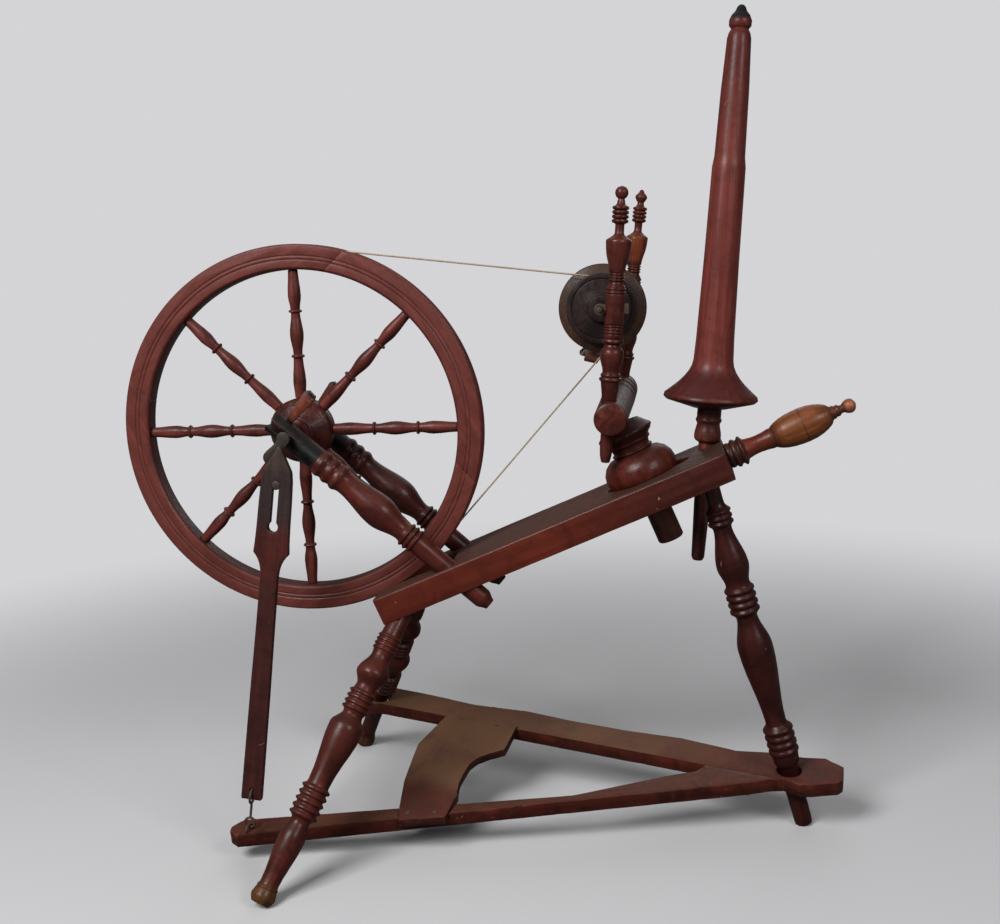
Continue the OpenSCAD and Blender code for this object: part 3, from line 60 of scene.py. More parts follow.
sight = Vector((
    -math.sin(camera_turn) * math.cos(camera_dip),
    math.cos(camera_turn) * math.cos(camera_dip),
    -math.sin(camera_dip),
))
level = Vector((math.cos(camera_turn), math.sin(camera_turn), 0))
above = level.cross(sight)
right = level * math.cos(camera_tip) + above * math.sin(camera_tip)
top = above * math.cos(camera_tip) - level * math.sin(camera_tip)
camera = bpy.data.objects.new("camera", bpy.data.cameras.new("camera"))
scene.collection.objects.link(camera)
camera.data.lens = camera_lens
camera.data.sensor_width = camera_film
camera.matrix_world = Matrix.Translation(camera_place) @ Matrix((right, top, -sight)).transposed().to_4x4()
scene.camera = camera


# Table: one thick maple plank, planed by hand and stained red. Its stain is painted darker
# towards the high end as painted shade, and its top is grey with dust between the worn edges.
def points_of(node):
    """Return a CAD node's distinct points as rows, in metres."""
    mesh = frame["nodes"][node].data
    rows = np.empty(len(mesh.vertices) * 3)
    mesh.vertices.foreach_get("co", rows)
    return np.unique(rows.reshape(-1, 3).round(6), axis=0)


def run_of(node, along):
    """Return where a piece starts on its middle line, for a known direction, and its length."""
    points = points_of(node)
    stations = points @ np.array(along)
    middle = (points.min(axis=0) + points.max(axis=0)) / 2
    start = middle + np.array(along) * (stations.min() - middle @ np.array(along))
    return Vector(start), float(np.ptp(stations))


def only(*pieces):
    """Select these objects and no others, and make the first one active."""
    bpy.ops.object.select_all(action="DESELECT")
    for piece in pieces:
        piece.select_set(True)
    bpy.context.view_layer.objects.active = pieces[0]


def modify(piece, kind, **settings):
    """Add a modifier to a piece and apply it."""
    only(piece)
    added = piece.modifiers.new(kind.lower(), kind)
    for name, value in settings.items():
        setattr(added, name, value)
    bpy.ops.object.modifier_apply(modifier=added.name)


def cut_across(piece, direction, spacing):
    """Cut a piece's faces by planes across a direction, so that they have points all over."""
    stations = [vertex.co.dot(direction) for vertex in piece.data.vertices]
    low, high = min(stations), max(stations)
    count = max(int((high - low) / spacing), 1)
    bpy.ops.object.mode_set(mode="EDIT")
    for step in range(1, count):
        bpy.ops.mesh.select_all(action="SELECT")
        place = Vector(direction) * (low + (high - low) * step / count)
        bpy.ops.mesh.bisect(plane_co=place, plane_no=direction)
    bpy.ops.object.mode_set(mode="OBJECT")


def worked(node, name, edge=0.0, cuts=(), smooth=40.0):
    """Copy a CAD node as a clean mesh, with cuts across its flat faces and rounded edges.

    cuts holds (direction, spacing) pairs, and edge is the width of the rounding."""
    piece = bpy.data.objects.new(name, frame["nodes"][node].data.copy())
    scene.collection.objects.link(piece)
    piece.data.materials.clear()
    only(piece)
    bpy.ops.object.mode_set(mode="EDIT")
    bpy.ops.mesh.select_all(action="SELECT")
    bpy.ops.mesh.customdata_custom_splitnormals_clear()
    bpy.ops.mesh.remove_doubles(threshold=0.00001)
    bpy.ops.mesh.dissolve_limited(angle_limit=math.radians(0.6))
    bpy.ops.object.mode_set(mode="OBJECT")
    for direction, spacing in cuts:
        cut_across(piece, direction, spacing)
    if edge:
        modify(piece, "BEVEL", width=edge, segments=2, limit_method="ANGLE",
               angle_limit=math.radians(smooth), use_clamp_overlap=False)
    only(piece)
    bpy.ops.object.shade_smooth_by_angle(angle=math.radians(smooth))
    return piece


def mark_wear_and_shade(piece):
    """Store how far each point stands proud of its neighbours: 0 in a groove, 1 on a crest."""
    mesh = piece.data
    count = len(mesh.vertices)
    places = np.empty(count * 3)
    mesh.vertices.foreach_get("co", places)
    places = places.reshape(-1, 3)
    normals = np.empty(count * 3)
    mesh.vertices.foreach_get("normal", normals)
    normals = normals.reshape(-1, 3)
    ends = np.empty(len(mesh.edges) * 2, dtype=int)
    mesh.edges.foreach_get("vertices", ends)
    first, second = ends.reshape(-1, 2).T
    along = places[second] - places[first]
    along /= np.maximum(np.linalg.norm(along, axis=1), 1e-9)[:, None]
    rise = np.zeros(count)
    shares = np.zeros(count)
    np.add.at(rise, first, (normals[first] * along).sum(axis=1))
    np.add.at(rise, second, -(normals[second] * along).sum(axis=1))
    np.add.at(shares, first, 1)
    np.add.at(shares, second, 1)
    wear_and_shade = np.clip(0.45 - 1.1 * rise / np.maximum(shares, 1), 0, 1)
    stored = mesh.attributes.new("wear_and_shade", "FLOAT", "POINT")
    stored.data.foreach_set("value", wear_and_shade.astype(np.float32))


def roughen(piece, depth, grain, chip=0.0):
    """Move points a little, as hand work leaves them, and sink some of the crests as chips."""
    wear_and_shade = piece.data.attributes["wear_and_shade"].data
    for vertex in piece.data.vertices:
        place = vertex.co.copy()
        move = noise.noise_vector(place / grain) * depth
        dent = noise.noise(place * 90 + Vector((3.1, 0, 0))) - 0.34
        if chip and wear_and_shade[vertex.index].value > 0.6 and dent > 0:
            move -= vertex.normal * min(dent * 4, 1) * chip
        vertex.co = place + move


def add_node(tree, kind, inputs=None, **settings):
    """Add a shader node, set its inputs to numbers or links, and its settings."""
    made = tree.nodes.new(kind)
    for name, value in settings.items():
        setattr(made, name, value)
    for name, value in (inputs or {}).items():
        if isinstance(value, bpy.types.NodeSocket):
            tree.links.new(value, made.inputs[name])
        else:
            made.inputs[name].default_value = value
    return made


def mottle(tree, place, scale, detail=3.0, warp=0.0):
    """Return soft noise from 0 to 1, with scale spots to the metre."""
    inputs = {"Vector": place, "Scale": scale, "Detail": detail, "Distortion": warp}
    return add_node(tree, "ShaderNodeTexNoise", inputs).outputs[0]


def ranged(tree, value, low, high, to_low=0.0, to_high=1.0):
    """Return value, spread smoothly from low..high to to_low..to_high."""
    inputs = {0: value, 1: low, 2: high, 3: to_low, 4: to_high}
    return add_node(tree, "ShaderNodeMapRange", inputs, interpolation_type="SMOOTHSTEP").outputs[0]


def sums(tree, how, first, second):
    """Return the sum, product or another figure of two numbers."""
    return add_node(tree, "ShaderNodeMath", {0: first, 1: second}, operation=how).outputs[0]


def mixed(tree, share, first, second, how="MIX"):
    """Return two colours mixed by a share."""
    inputs = {0: share, 6: first, 7: second}
    return add_node(tree, "ShaderNodeMix", inputs, data_type="RGBA", blend_type=how).outputs[2]


def shade(tone, by):
    """Return a colour made lighter or darker by a factor."""
    return (tone[0] * by, tone[1] * by, tone[2] * by, 1)


dust_tone = (0.05, 0.028, 0.019)
bare_tone = (0.3, 0.13, 0.06)
# Near black for the hollows: grime and painted shade together.
grime_and_shade_tone = (0.007, 0.003, 0.0025)
varnish_share = 0.1
varnish_gloss = 0.2
wood_shine = 0.2


def stained_wood(name, start, along, tone, gloss=0.36, dust=0.35, worn=0.6, grime_and_shade=0.75,
                 lathe=0.0, bands=(), figure=1.0, chips=0.4, settled=dust_tone, scoured=()):
    """Make stained and varnished wood whose grain runs along a piece.

    Each band is (colour, from, to): the stain turns to that colour between the two stations.
    worn, grime, dust and chips say how much of each shows, lathe how deep the turning lines
    are, settled is the colour of what lies on top, and scoured bands lie over it. The grime
    share darkens the hollows with grime and painted shade."""
    material = bpy.data.materials.new(name)
    material.use_nodes = True
    tree = material.node_tree
    shader = tree.nodes["Principled BSDF"]
    coordinates = add_node(tree, "ShaderNodeTexCoord").outputs
    turn = Vector((1, 0, 0)).rotation_difference(Vector(along)).to_euler()
    place = add_node(tree, "ShaderNodeMapping", {
        "Vector": coordinates["Object"], "Location": Vector(start), "Rotation": turn,
    }, vector_type="TEXTURE").outputs[0]
    grain = add_node(tree, "ShaderNodeMapping", {
        "Vector": place, "Scale": (0.05, 1, 1),
    }).outputs[0]
    station = add_node(tree, "ShaderNodeSeparateXYZ", {0: place}).outputs[0]

    streaks = mottle(tree, grain, 160, 4, 0.3)
    pores = mottle(tree, grain, 900, 2)
    clouds = mottle(tree, place, 16, 3, 0.4)
    specks = mottle(tree, place, 150, 4)

    dark = shade(tone, 1 - 0.42 * figure)
    light = shade(tone, 1 + 0.38 * figure)
    colour = mixed(tree, ranged(tree, streaks, 0.34, 0.66), dark, light)
    colour = mixed(tree, ranged(tree, clouds, 0.3, 0.72), colour, shade(tone, 0.82))
    smoked = ranged(tree, mottle(tree, place, 38, 3, 0.8), 0.46, 0.7, 0, 0.75 * figure)
    colour = mixed(tree, smoked, colour, shade(tone, 0.38))
    drift = sums(tree, "MULTIPLY", sums(tree, "SUBTRACT", specks, 0.5), 0.004)
    measure = sums(tree, "ADD", station, drift)
    for band, low, high in bands:
        tinted = mixed(tree, ranged(tree, streaks, 0.3, 0.7), shade(band, 0.72), shade(band, 1.25))
        tinted = mixed(tree, smoked, tinted, shade(band, 0.5))
        colour = mixed(tree, ranged(tree, measure, low, high), colour, tinted)
    fine = ranged(tree, pores, 0.56, 0.74)
    colour = mixed(tree, sums(tree, "MULTIPLY", fine, 0.35 * figure), colour, shade(tone, 0.3))

    wear_and_shade = add_node(tree, "ShaderNodeAttribute", attribute_name="wear_and_shade").outputs["Fac"]
    ragged = sums(tree, "ADD", wear_and_shade, sums(tree, "MULTIPLY", sums(tree, "SUBTRACT", specks, 0.5), 0.5))
    rubbed = sums(tree, "MULTIPLY", ranged(tree, ragged, 0.58, 0.86), worn)
    colour = mixed(tree, rubbed, colour, (*[0.45 * a + 0.55 * b for a, b in zip(light, bare_tone)], 1))
    # Hollows are darkened towards near black: grime and painted shade in the grooves.
    sunk_grime_and_shade = sums(tree, "MULTIPLY", ranged(tree, wear_and_shade, 0.42, 0.24), grime_and_shade)
    colour = mixed(tree, sunk_grime_and_shade, colour, (*grime_and_shade_tone, 1))
    if chips:
        flake = mottle(tree, place, 75, 2, 1.2)
        chip = ranged(tree, sums(tree, "ADD", flake, sums(tree, "MULTIPLY", wear_and_shade, 0.12)), 0.815, 0.835)
        colour = mixed(tree, sums(tree, "MULTIPLY", chip, chips), colour, (0.42, 0.2, 0.08, 1))

    facing = add_node(tree, "ShaderNodeSeparateXYZ", {0: coordinates["Normal"]}).outputs[2]
    upper = ranged(tree, facing, 0.35, 0.95)
    lying = sums(tree, "MULTIPLY", upper, ranged(tree, clouds, 0.25, 0.6, 0.45, 1))
    dusty = sums(tree, "MULTIPLY", lying, dust)
    colour = mixed(tree, dusty, colour, (*settled, 1))
    for band, low, high in scoured:
        shown = sums(tree, "MULTIPLY", ranged(tree, measure, low, high), upper)
        colour = mixed(tree, shown, colour, mixed(tree, ranged(tree, clouds, 0.3, 0.7), shade(band, 0.7), shade(band, 1.2)))
    tree.links.new(colour, shader.inputs["Base Color"])

    matt = sums(tree, "ADD", ranged(tree, specks, 0.3, 0.7, gloss - 0.05, gloss + 0.1),
                sums(tree, "MULTIPLY", dusty, 0.4))
    tree.links.new(matt, shader.inputs["Roughness"])
    height = sums(tree, "ADD", sums(tree, "MULTIPLY", streaks, 0.5), sums(tree, "MULTIPLY", specks, 0.6))
    if lathe:
        rings = add_node(tree, "ShaderNodeTexWave", {
            "Vector": place, "Scale": 130, "Distortion": 0.8, "Detail": 3, "Detail Scale": 0.4,
        }, bands_direction="X").outputs[1]
        strength = sums(tree, "MULTIPLY", ranged(tree, clouds, 0.35, 0.65, 0.15, 1), lathe * 0.4)
        height = sums(tree, "ADD", height, sums(tree, "MULTIPLY", rings, strength))
    bump = add_node(tree, "ShaderNodeBump", {"Strength": 0.5, "Distance": 0.0005, "Height": height})
    tree.links.new(bump.outputs[0], shader.inputs["Normal"])
    shader.inputs["Specular IOR Level"].default_value = wood_shine
    shader.inputs["Coat Weight"].default_value = varnish_share
    shader.inputs["Coat Roughness"].default_value = varnish_gloss
    return material


def fit(piece, body, slot, *nodes):
    """Let a piece ride on a body in place of CAD nodes."""
    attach(piece, body)
    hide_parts(*nodes)
    return piece


def dress(piece, *materials):
    """Give a piece its materials, the first one all over."""
    for material in materials:
        piece.data.materials.append(material)
    for face in piece.data.polygons:
        face.material_index = 0


slope = Vector(next(j["axis"] for j in frame["joints"] if j["name"] == "mother_slide"))
across = Vector((0, 1, 0))
table_normal = slope.cross(across)
table_edge = 0.0011
table_grid = 0.009
table_start, table_length = run_of("table", slope)

table = worked("table", "table_plank", table_edge,
               [(slope, table_grid), (across, table_grid), (table_normal, table_grid)])
mark_wear_and_shade(table)
roughen(table, 0.00025, 0.02, 0.0007)
# The band darkens the whole plank towards its high end: painted shade.
dress(table, stained_wood(
    "table_stain", table_start, slope, (0.115, 0.0175, 0.008), gloss=0.42, dust=0.7, worn=0.3, chips=0.8, figure=0.5,
    bands=[((0.055, 0.0105, 0.0075), 0.45 * table_length, 0.9 * table_length)]))
fit(table, "frame", "wood_red", "table")

# Legs: three turned legs, driven into the table's underside. The rings are rubbed pale on
# their crests, the varnish is still glossy on the vases, and the near foot is worn bare.
def turning(node, towards):
    """Return a turned piece's start, its axis and its length, found from its own points."""
    points = points_of(node)
    middle = points.mean(axis=0)
    axis = Vector(np.linalg.eigh(np.cov((points - middle).T))[1][:, 2])
    if axis.dot(Vector(towards)) < 0:
        axis.negate()
    stations = (points - middle) @ np.array(axis)
    return Vector(middle) + axis * stations.min(), axis, float(np.ptp(stations))


def rub_down(piece, start, axis, share, low=0.0, window=0.005, most=1.0):
    """Wear a turning's rings and hollows down past a station, by a share of how far they stand out."""
    mesh = piece.data
    places = np.empty(len(mesh.vertices) * 3)
    mesh.vertices.foreach_get("co", places)
    offsets = places.reshape(-1, 3) - np.array(start)
    stations = offsets @ np.array(axis)
    spokes = offsets - stations[:, None] * np.array(axis)
    radii = np.linalg.norm(spokes, axis=1)
    order = np.argsort(stations)
    order = order[stations[order] > low]
    steps = np.arange(low, stations.max(), 0.0004)
    outline = np.interp(steps, stations[order], radii[order])
    reach = int(window / 0.0004)
    padded = np.pad(outline, reach, mode="edge")
    broad = np.convolve(padded, np.ones(2 * reach + 1) / (2 * reach + 1), mode="valid")
    plain = np.interp(stations, steps, broad)
    wanted = radii + np.minimum(share * (plain - radii), most)
    turned = (radii > 0.4 * plain) & (stations > low)
    grown = np.where(turned, wanted / np.maximum(radii, 1e-6), 1)
    rubbed = offsets + spokes * (grown - 1)[:, None] + np.array(start)
    mesh.vertices.foreach_set("co", rubbed.ravel())
    mesh.update()


upwards = (0, 0, 1)
foot_tone = (0.1, 0.04, 0.012)
foot_length = 0.03
# The right leg has a darker copy of the stain: painted shade.
leg_tones_and_shade = {
    "leg_right": (0.045, 0.0085, 0.0065),
    "leg_near": (0.088, 0.0165, 0.0105),
    "leg_far": (0.078, 0.015, 0.01),
}
for node, tone in leg_tones_and_shade.items():
    leg = worked(node, f"turned_{node}", 0.0003)
    start, axis, length = turning(node, upwards)
    rub_down(leg, start, axis, 0.5, most=0.0002 if node == "leg_far" else 1.0)
    mark_wear_and_shade(leg)
    foot_end = start + axis * foot_length
    bands = [] if node == "leg_right" else [(foot_tone, foot_length, foot_length * 0.4)]
    dress(leg, stained_wood(
        f"{node}_stain", start, axis, tone, gloss=0.34, dust=0.25, worn=0.75, lathe=0.35,
        bands=bands, chips=0.5))
    fit(leg, "frame", "wood_red", node)

# Wheel posts and keepers: two raking posts with forked heads, painted black where the axle is
# greased, and the small paddle-shaped pegs that close the forks over the axle.
black_tone = (0.006, 0.0055, 0.006)
black_length = 0.072
# The far post has a darker copy of the stain: painted shade behind the wheel.
post_tones_and_shade = {"post_near": (0.094, 0.0175, 0.0115), "post_far": (0.05, 0.0105, 0.008)}
for node, tone in post_tones_and_shade.items():
    post = worked(node, f"turned_{node}", 0.0004)
    start, axis, length = turning(node, slope - Vector((0, 0, 2)))
    rub_down(post, start, axis, 0.45, black_length)
    mark_wear_and_shade(post)
    dress(post, stained_wood(
        f"{node}_stain", start, axis, tone, gloss=0.35, dust=0.3, worn=0.65, lathe=0.35,
        bands=[(black_tone, black_length + 0.004, black_length - 0.001)], chips=0.3))
    fit(post, "frame", "wood_red", node)
for node in ("keeper_near", "keeper_far"):
    keeper = worked(node, f"peg_{node}", 0.0005)
    mark_wear_and_shade(keeper)
    start, axis, length = turning(node, upwards)
    dress(keeper, stained_wood(
        f"{node}_stain", start, axis, (0.16, 0.036, 0.018), dust=0.1, worn=0.4,
        bands=[(black_tone, 0.5 * length, 0.42 * length), (black_tone, 0.93 * length, 0.97 * length)]))
    fit(keeper, "frame", "wood_red", node)

# Hub, spokes and felloes: a turned hub drilled for eight turned spokes, and four sawn felloes
# with moulded faces, whose end grain meets in the joints of the rim.
wheel_middle = Vector(next(j["pos_m"] for j in frame["joints"] if j["name"] == "wheel_spin"))
hub = worked("hub", "turned_hub", 0.0003)
mark_wear_and_shade(hub)
dress(hub, stained_wood(
    "hub_stain", wheel_middle, across, (0.062, 0.0115, 0.0085), dust=0.25, worn=0.5, lathe=0.5))
fit(hub, "wheel", "wood_red", "hub")
for number in range(1, 9):
    node = f"spoke_{number}"
    spoke = worked(node, f"turned_{node}", 0.0002)
    mark_wear_and_shade(spoke)
    low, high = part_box(node)
    start, axis, length = turning(node, (low + high) / 2 - wheel_middle)
    dress(spoke, stained_wood(
        f"{node}_stain", start, axis, (0.13, 0.0275, 0.0205), gloss=0.4, dust=0.25, worn=0.5,
        lathe=0.25, chips=0.2))
    fit(spoke, "wheel", "wood_red", node)
# The felloes' inner faces get a low measure, so the hollow darkening paints them in shade.
inner_face_shade = 0.3
for number in range(1, 5):
    node = f"felloe_{number}"
    felloe = worked(node, f"rim_{node}", 0.0005)
    mark_wear_and_shade(felloe)
    wear_and_shade = felloe.data.attributes["wear_and_shade"].data
    for vertex in felloe.data.vertices:
        if vertex.normal.dot((vertex.co - wheel_middle).normalized()) < -0.7:
            wear_and_shade[vertex.index].value = inner_face_shade
    middle = Vector(points_of(node).mean(axis=0))
    tangent = (middle - wheel_middle).cross(across).normalized()
    dress(felloe, stained_wood(
        f"{node}_stain", middle, tangent, (0.155, 0.037, 0.0285), gloss=0.42, dust=0.35, worn=0.6,
        grime_and_shade=0.85, chips=0.45, figure=0.5))
    fit(felloe, "wheel", "wood_red", node)

# Iron: the axle with its forged crank, the spindle, the wire hooks and the nails are wrought
# iron and wire, brown with old rust and rubbed bright where they bear.
def worn_iron(name, tone=(0.075, 0.06, 0.052), rust=0.6, stain=(0.07, 0.032, 0.018)):
    """Make old iron with patches of brown rust."""
    material = bpy.data.materials.new(name)
    material.use_nodes = True
    tree = material.node_tree
    shader = tree.nodes["Principled BSDF"]
    place = add_node(tree, "ShaderNodeTexCoord").outputs["Object"]
    patches = mottle(tree, place, 120, 4, 0.5)
    specks = mottle(tree, place, 900, 3)
    colour = mixed(tree, ranged(tree, patches, 0.35, 0.6), (*tone, 1), (*stain, 1))
    colour = mixed(tree, ranged(tree, specks, 0.5, 0.75), colour, (0.02, 0.014, 0.012, 1))
    tree.links.new(colour, shader.inputs["Base Color"])
    bare = ranged(tree, patches, 0.3, 0.3 + rust * 0.4, 0.9, 0.1)
    tree.links.new(bare, shader.inputs["Metallic"])
    tree.links.new(ranged(tree, specks, 0.3, 0.7, 0.4, 0.65), shader.inputs["Roughness"])
    bump = add_node(tree, "ShaderNodeBump", {"Strength": 0.4, "Distance": 0.0003, "Height": specks})
    tree.links.new(bump.outputs[0], shader.inputs["Normal"])
    return material


forged = worn_iron("forged_iron")
greased = worn_iron("greased_iron", (0.03, 0.024, 0.021), 0.3, (0.03, 0.017, 0.012))
iron_bodies = {
    "axle": ("wheel", 0.0006),
    "spindle": ("flyer", 0.0003),
    "flyer_hook_row": ("flyer", 0.0),
    "treadle_nails": ("treadle", 0.0003),
    "treadle_staple": ("treadle", 0.0),
    "footman_hook": ("footman_hook", 0.0),
    "crank_pin_end": ("footman", 0.0006),
}
pin_low, pin_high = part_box("crank_pin_end")
crank = (pin_low + pin_high) / 2 - wheel_middle
crank_throw = math.hypot(crank.x, crank.z)
crank_along = Vector((crank.x, 0, crank.z)) / crank_throw
crank_side = Vector((crank_along.z, 0, -crank_along.x))
crank_bow = 0.016
for node, (body, edge) in iron_bodies.items():
    iron = worked(node, f"iron_{node}", edge, [(crank_along, 0.003)] if node == "axle" else ())
    if node == "axle":
        for vertex in iron.data.vertices:
            share = (vertex.co - wheel_middle).dot(crank_along) / crank_throw
            share = min(max((share - 0.02) / 0.88, 0), 1)
            vertex.co += crank_side * (crank_bow * math.sin(math.pi * share) ** 2)
    dress(iron, greased if node in ("axle", "crank_pin_end") else forged)
    fit(iron, body, "iron", node)

# Tension screw: a wooden rod through the table's high end, turned by a handle with three dark
# rings, a red neck, a barrel rubbed bare by the hand, and a small ball.
rod = worked("tension_rod", "screw_rod")
mark_wear_and_shade(rod)
rod_start, rod_axis, rod_length = turning("tension_rod", slope)
dress(rod, stained_wood("rod_stain", rod_start, rod_axis, (0.05, 0.018, 0.012), dust=0.1))
fit(rod, "tension_screw", "wood_dark", "tension_rod")


def lathe(name, start, axis, outline, bore=None, sides=72):
    """Turn a piece from (station, radius) pairs. bore is the radius and depth of a hole."""
    stations = np.arange(outline[0][0], outline[-1][0] + 0.0003, 0.0006)
    radii = np.interp(stations, [pair[0] for pair in outline], [pair[1] for pair in outline])
    for softening in range(2):
        radii[1:-1] = (radii[:-2] + 2 * radii[1:-1] + radii[2:]) / 4
    rings = list(zip(stations, radii))
    if bore:
        rings = [(stations[0] + bore[1], bore[0]), (stations[0], bore[0])] + rings
    first = Vector(axis).orthogonal().normalized()
    second = Vector(axis).cross(first)
    points = []
    for station, radius in rings:
        for side in range(sides):
            turn = 2 * math.pi * side / sides
            points.append(start + axis * station + (first * math.cos(turn) + second * math.sin(turn)) * radius)
    faces = [tuple(reversed(range(sides))), tuple(range((len(rings) - 1) * sides, len(rings) * sides))]
    for ring in range(len(rings) - 1):
        for side in range(sides):
            here, over = ring * sides + side, ring * sides + (side + 1) % sides
            faces.append((here, over, over + sides, here + sides))
    mesh = bpy.data.meshes.new(name)
    mesh.from_pydata(points, [], faces)
    piece = bpy.data.objects.new(name, mesh)
    scene.collection.objects.link(piece)
    only(piece)
    bpy.ops.object.shade_smooth_by_angle(angle=math.radians(50))
    return piece


grip_start, grip_axis, grip_length = turning("tension_handle", slope)
grip_reach = 0.018
grip_run = 1.03 * grip_length
grip_outline = [
    (0.0, 0.8), (0.008, 0.87), (0.03, 0.87), (0.037, 0.8), (0.044, 0.82), (0.052, 0.96), (0.072, 0.98),
    (0.082, 0.86), (0.09, 0.82), (0.1, 0.84), (0.108, 1.0), (0.125, 1.0), (0.135, 0.82), (0.142, 0.7),
    (0.17, 0.65), (0.205, 0.6), (0.245, 0.59), (0.29, 0.62), (0.335, 0.68), (0.349, 0.7), (0.356, 0.66),
    (0.37, 0.76), (0.4, 0.9), (0.44, 1.02), (0.49, 1.11), (0.55, 1.16), (0.6, 1.17), (0.66, 1.13),
    (0.71, 1.03), (0.75, 0.9), (0.785, 0.74), (0.8, 0.62), (0.807, 0.5), (0.82, 0.44), (0.832, 0.46),
    (0.842, 0.4), (0.852, 0.36), (0.862, 0.42), (0.872, 0.36), (0.882, 0.28), (0.9, 0.27), (0.91, 0.33),
    (0.92, 0.4), (0.935, 0.46), (0.952, 0.49), (0.97, 0.46), (0.985, 0.36), (0.994, 0.22), (1.0, 0.05),
]
handle = lathe("screw_handle", grip_start, grip_axis,
               [(share * grip_run, radius * grip_reach) for share, radius in grip_outline],
               bore=(0.0071, 0.0241))
mark_wear_and_shade(handle)
dress(handle, stained_wood(
    "handle_stain", grip_start, grip_axis, (0.055, 0.018, 0.012), gloss=0.37, dust=0.1, worn=0.8,
    lathe=0.4, figure=0.5,
    bands=[
        ((0.13, 0.024, 0.012), 0.13 * grip_run, 0.15 * grip_run),
        ((0.09, 0.022, 0.01), 0.3 * grip_run, 0.345 * grip_run),
        ((0.2, 0.062, 0.018), 0.36 * grip_run, 0.45 * grip_run),
        ((0.1, 0.036, 0.012), 0.583 * grip_run, 0.59 * grip_run),
        ((0.19, 0.056, 0.018), 0.594 * grip_run, 0.602 * grip_run),
        ((0.13, 0.04, 0.015), 0.68 * grip_run, 0.78 * grip_run),
        ((0.09, 0.026, 0.013), 0.8 * grip_run, 0.81 * grip_run),
        ((0.3, 0.1, 0.05), 0.905 * grip_run, 0.93 * grip_run),
    ]))
fit(handle, "tension_screw", "wood_brown", "tension_handle")

# Mother-of-all: a turned cross bar that carries the flyer, on a round collar whose shank
# slides in the table's slot. Grease, dust and painted shade darken the collar's hollows.
bar_start, bar_axis, bar_length = turning("mother_of_all", across)
bar_low, bar_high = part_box("mother_of_all")
bar = worked("mother_of_all", "cross_bar", 0.0004, [(across, 0.002)])
# The cove in the bar gets a near-black band: painted shade in the hollow.
cove_shade_tone = (0.016, 0.006, 0.005)
bar_cove = 0.212
cove_reach = 0.007
cove_depth = 0.003
for vertex in bar.data.vertices:
    share = (vertex.co.y - bar_low.y - bar_cove) / cove_reach
    out = vertex.co - bar_start
    out -= bar_axis * out.dot(bar_axis)
    if abs(share) < 1 and out.length > cove_depth:
        vertex.co -= out.normalized() * (cove_depth * math.cos(math.pi * share / 2) ** 2)
mark_wear_and_shade(bar)
dress(bar, stained_wood(
    "cross_bar_stain", bar_start, bar_axis, (0.084, 0.0155, 0.0105), gloss=0.34, dust=0.4, worn=0.7, lathe=0.6,
    bands=[
        (cove_shade_tone, bar_cove - 0.006, bar_cove - 0.004), ((0.084, 0.0155, 0.0105), bar_cove + 0.004, bar_cove + 0.006),
    ]))
fit(bar, "mother", "wood_red", "mother_of_all")
collar = worked("moa_collar", "collar", 0.0005)
mark_wear_and_shade(collar)
collar_start, collar_axis, collar_length = turning("moa_collar", table_normal)
dress(collar, stained_wood(
    "collar_stain", collar_start, collar_axis, (0.075, 0.02, 0.014), dust=0.3, worn=0.4, lathe=0.5,
    bands=[
        ((0.085, 0.0145, 0.0085), 0.078, 0.088),
        ((0.04, 0.01, 0.008), 0.112, 0.14),
    ]))
fit(collar, "mother", "wood_dark", "moa_collar")

# Maidens and bearings: two turned uprights in the cross bar, and the strips of leather through
# them that the spindle runs in. The far maiden's cup has worn back to brown wood.
maiden_tones = {
    "maiden_near": ((0.078, 0.016, 0.012), (0.085, 0.018, 0.0125)),
    "maiden_far": ((0.09, 0.02, 0.013), (0.17, 0.04, 0.017)),
}
for node, (tone, cup_tone) in maiden_tones.items():
    maiden = worked(node, f"turned_{node}", 0.0003)
    mark_wear_and_shade(maiden)
    start, axis, length = turning(node, upwards)
    dress(maiden, stained_wood(
        f"{node}_stain", start, axis, tone, gloss=0.27, dust=0.15, worn=0.6, lathe=0.3,
        bands=[(cup_tone, 0.7 * length, 0.72 * length), (tone, 0.82 * length, 0.83 * length)]))
    fit(maiden, "mother", "wood_brown" if node == "maiden_far" else "wood_red", node)


def dry_leather(name):
    """Make dry brown leather with a fine crackle."""
    material = bpy.data.materials.new(name)
    material.use_nodes = True
    tree = material.node_tree
    shader = tree.nodes["Principled BSDF"]
    place = add_node(tree, "ShaderNodeTexCoord").outputs["Object"]
    crackle = add_node(tree, "ShaderNodeTexVoronoi", {
        "Vector": place, "Scale": 700,
    }, feature="DISTANCE_TO_EDGE").outputs["Distance"]
    patches = mottle(tree, place, 110, 3)
    colour = mixed(tree, ranged(tree, patches, 0.3, 0.7), (0.05, 0.026, 0.014, 1), (0.1, 0.055, 0.028, 1))
    colour = mixed(tree, ranged(tree, crackle, 0.12, 0.0), colour, (0.02, 0.011, 0.007, 1))
    tree.links.new(colour, shader.inputs["Base Color"])
    tree.links.new(ranged(tree, patches, 0.3, 0.7, 0.6, 0.8), shader.inputs["Roughness"])
    bump = add_node(tree, "ShaderNodeBump", {
        "Strength": 0.5, "Distance": 0.0003, "Height": ranged(tree, crackle, 0, 0.2),
    })
    tree.links.new(bump.outputs[0], shader.inputs["Normal"])
    return material


hide = dry_leather("dry_leather")
for node in ("leather_near", "leather_far"):
    strap = worked(node, f"strap_{node}", 0.0007)
    dress(strap, hide)
    fit(strap, "mother", "hide", node)

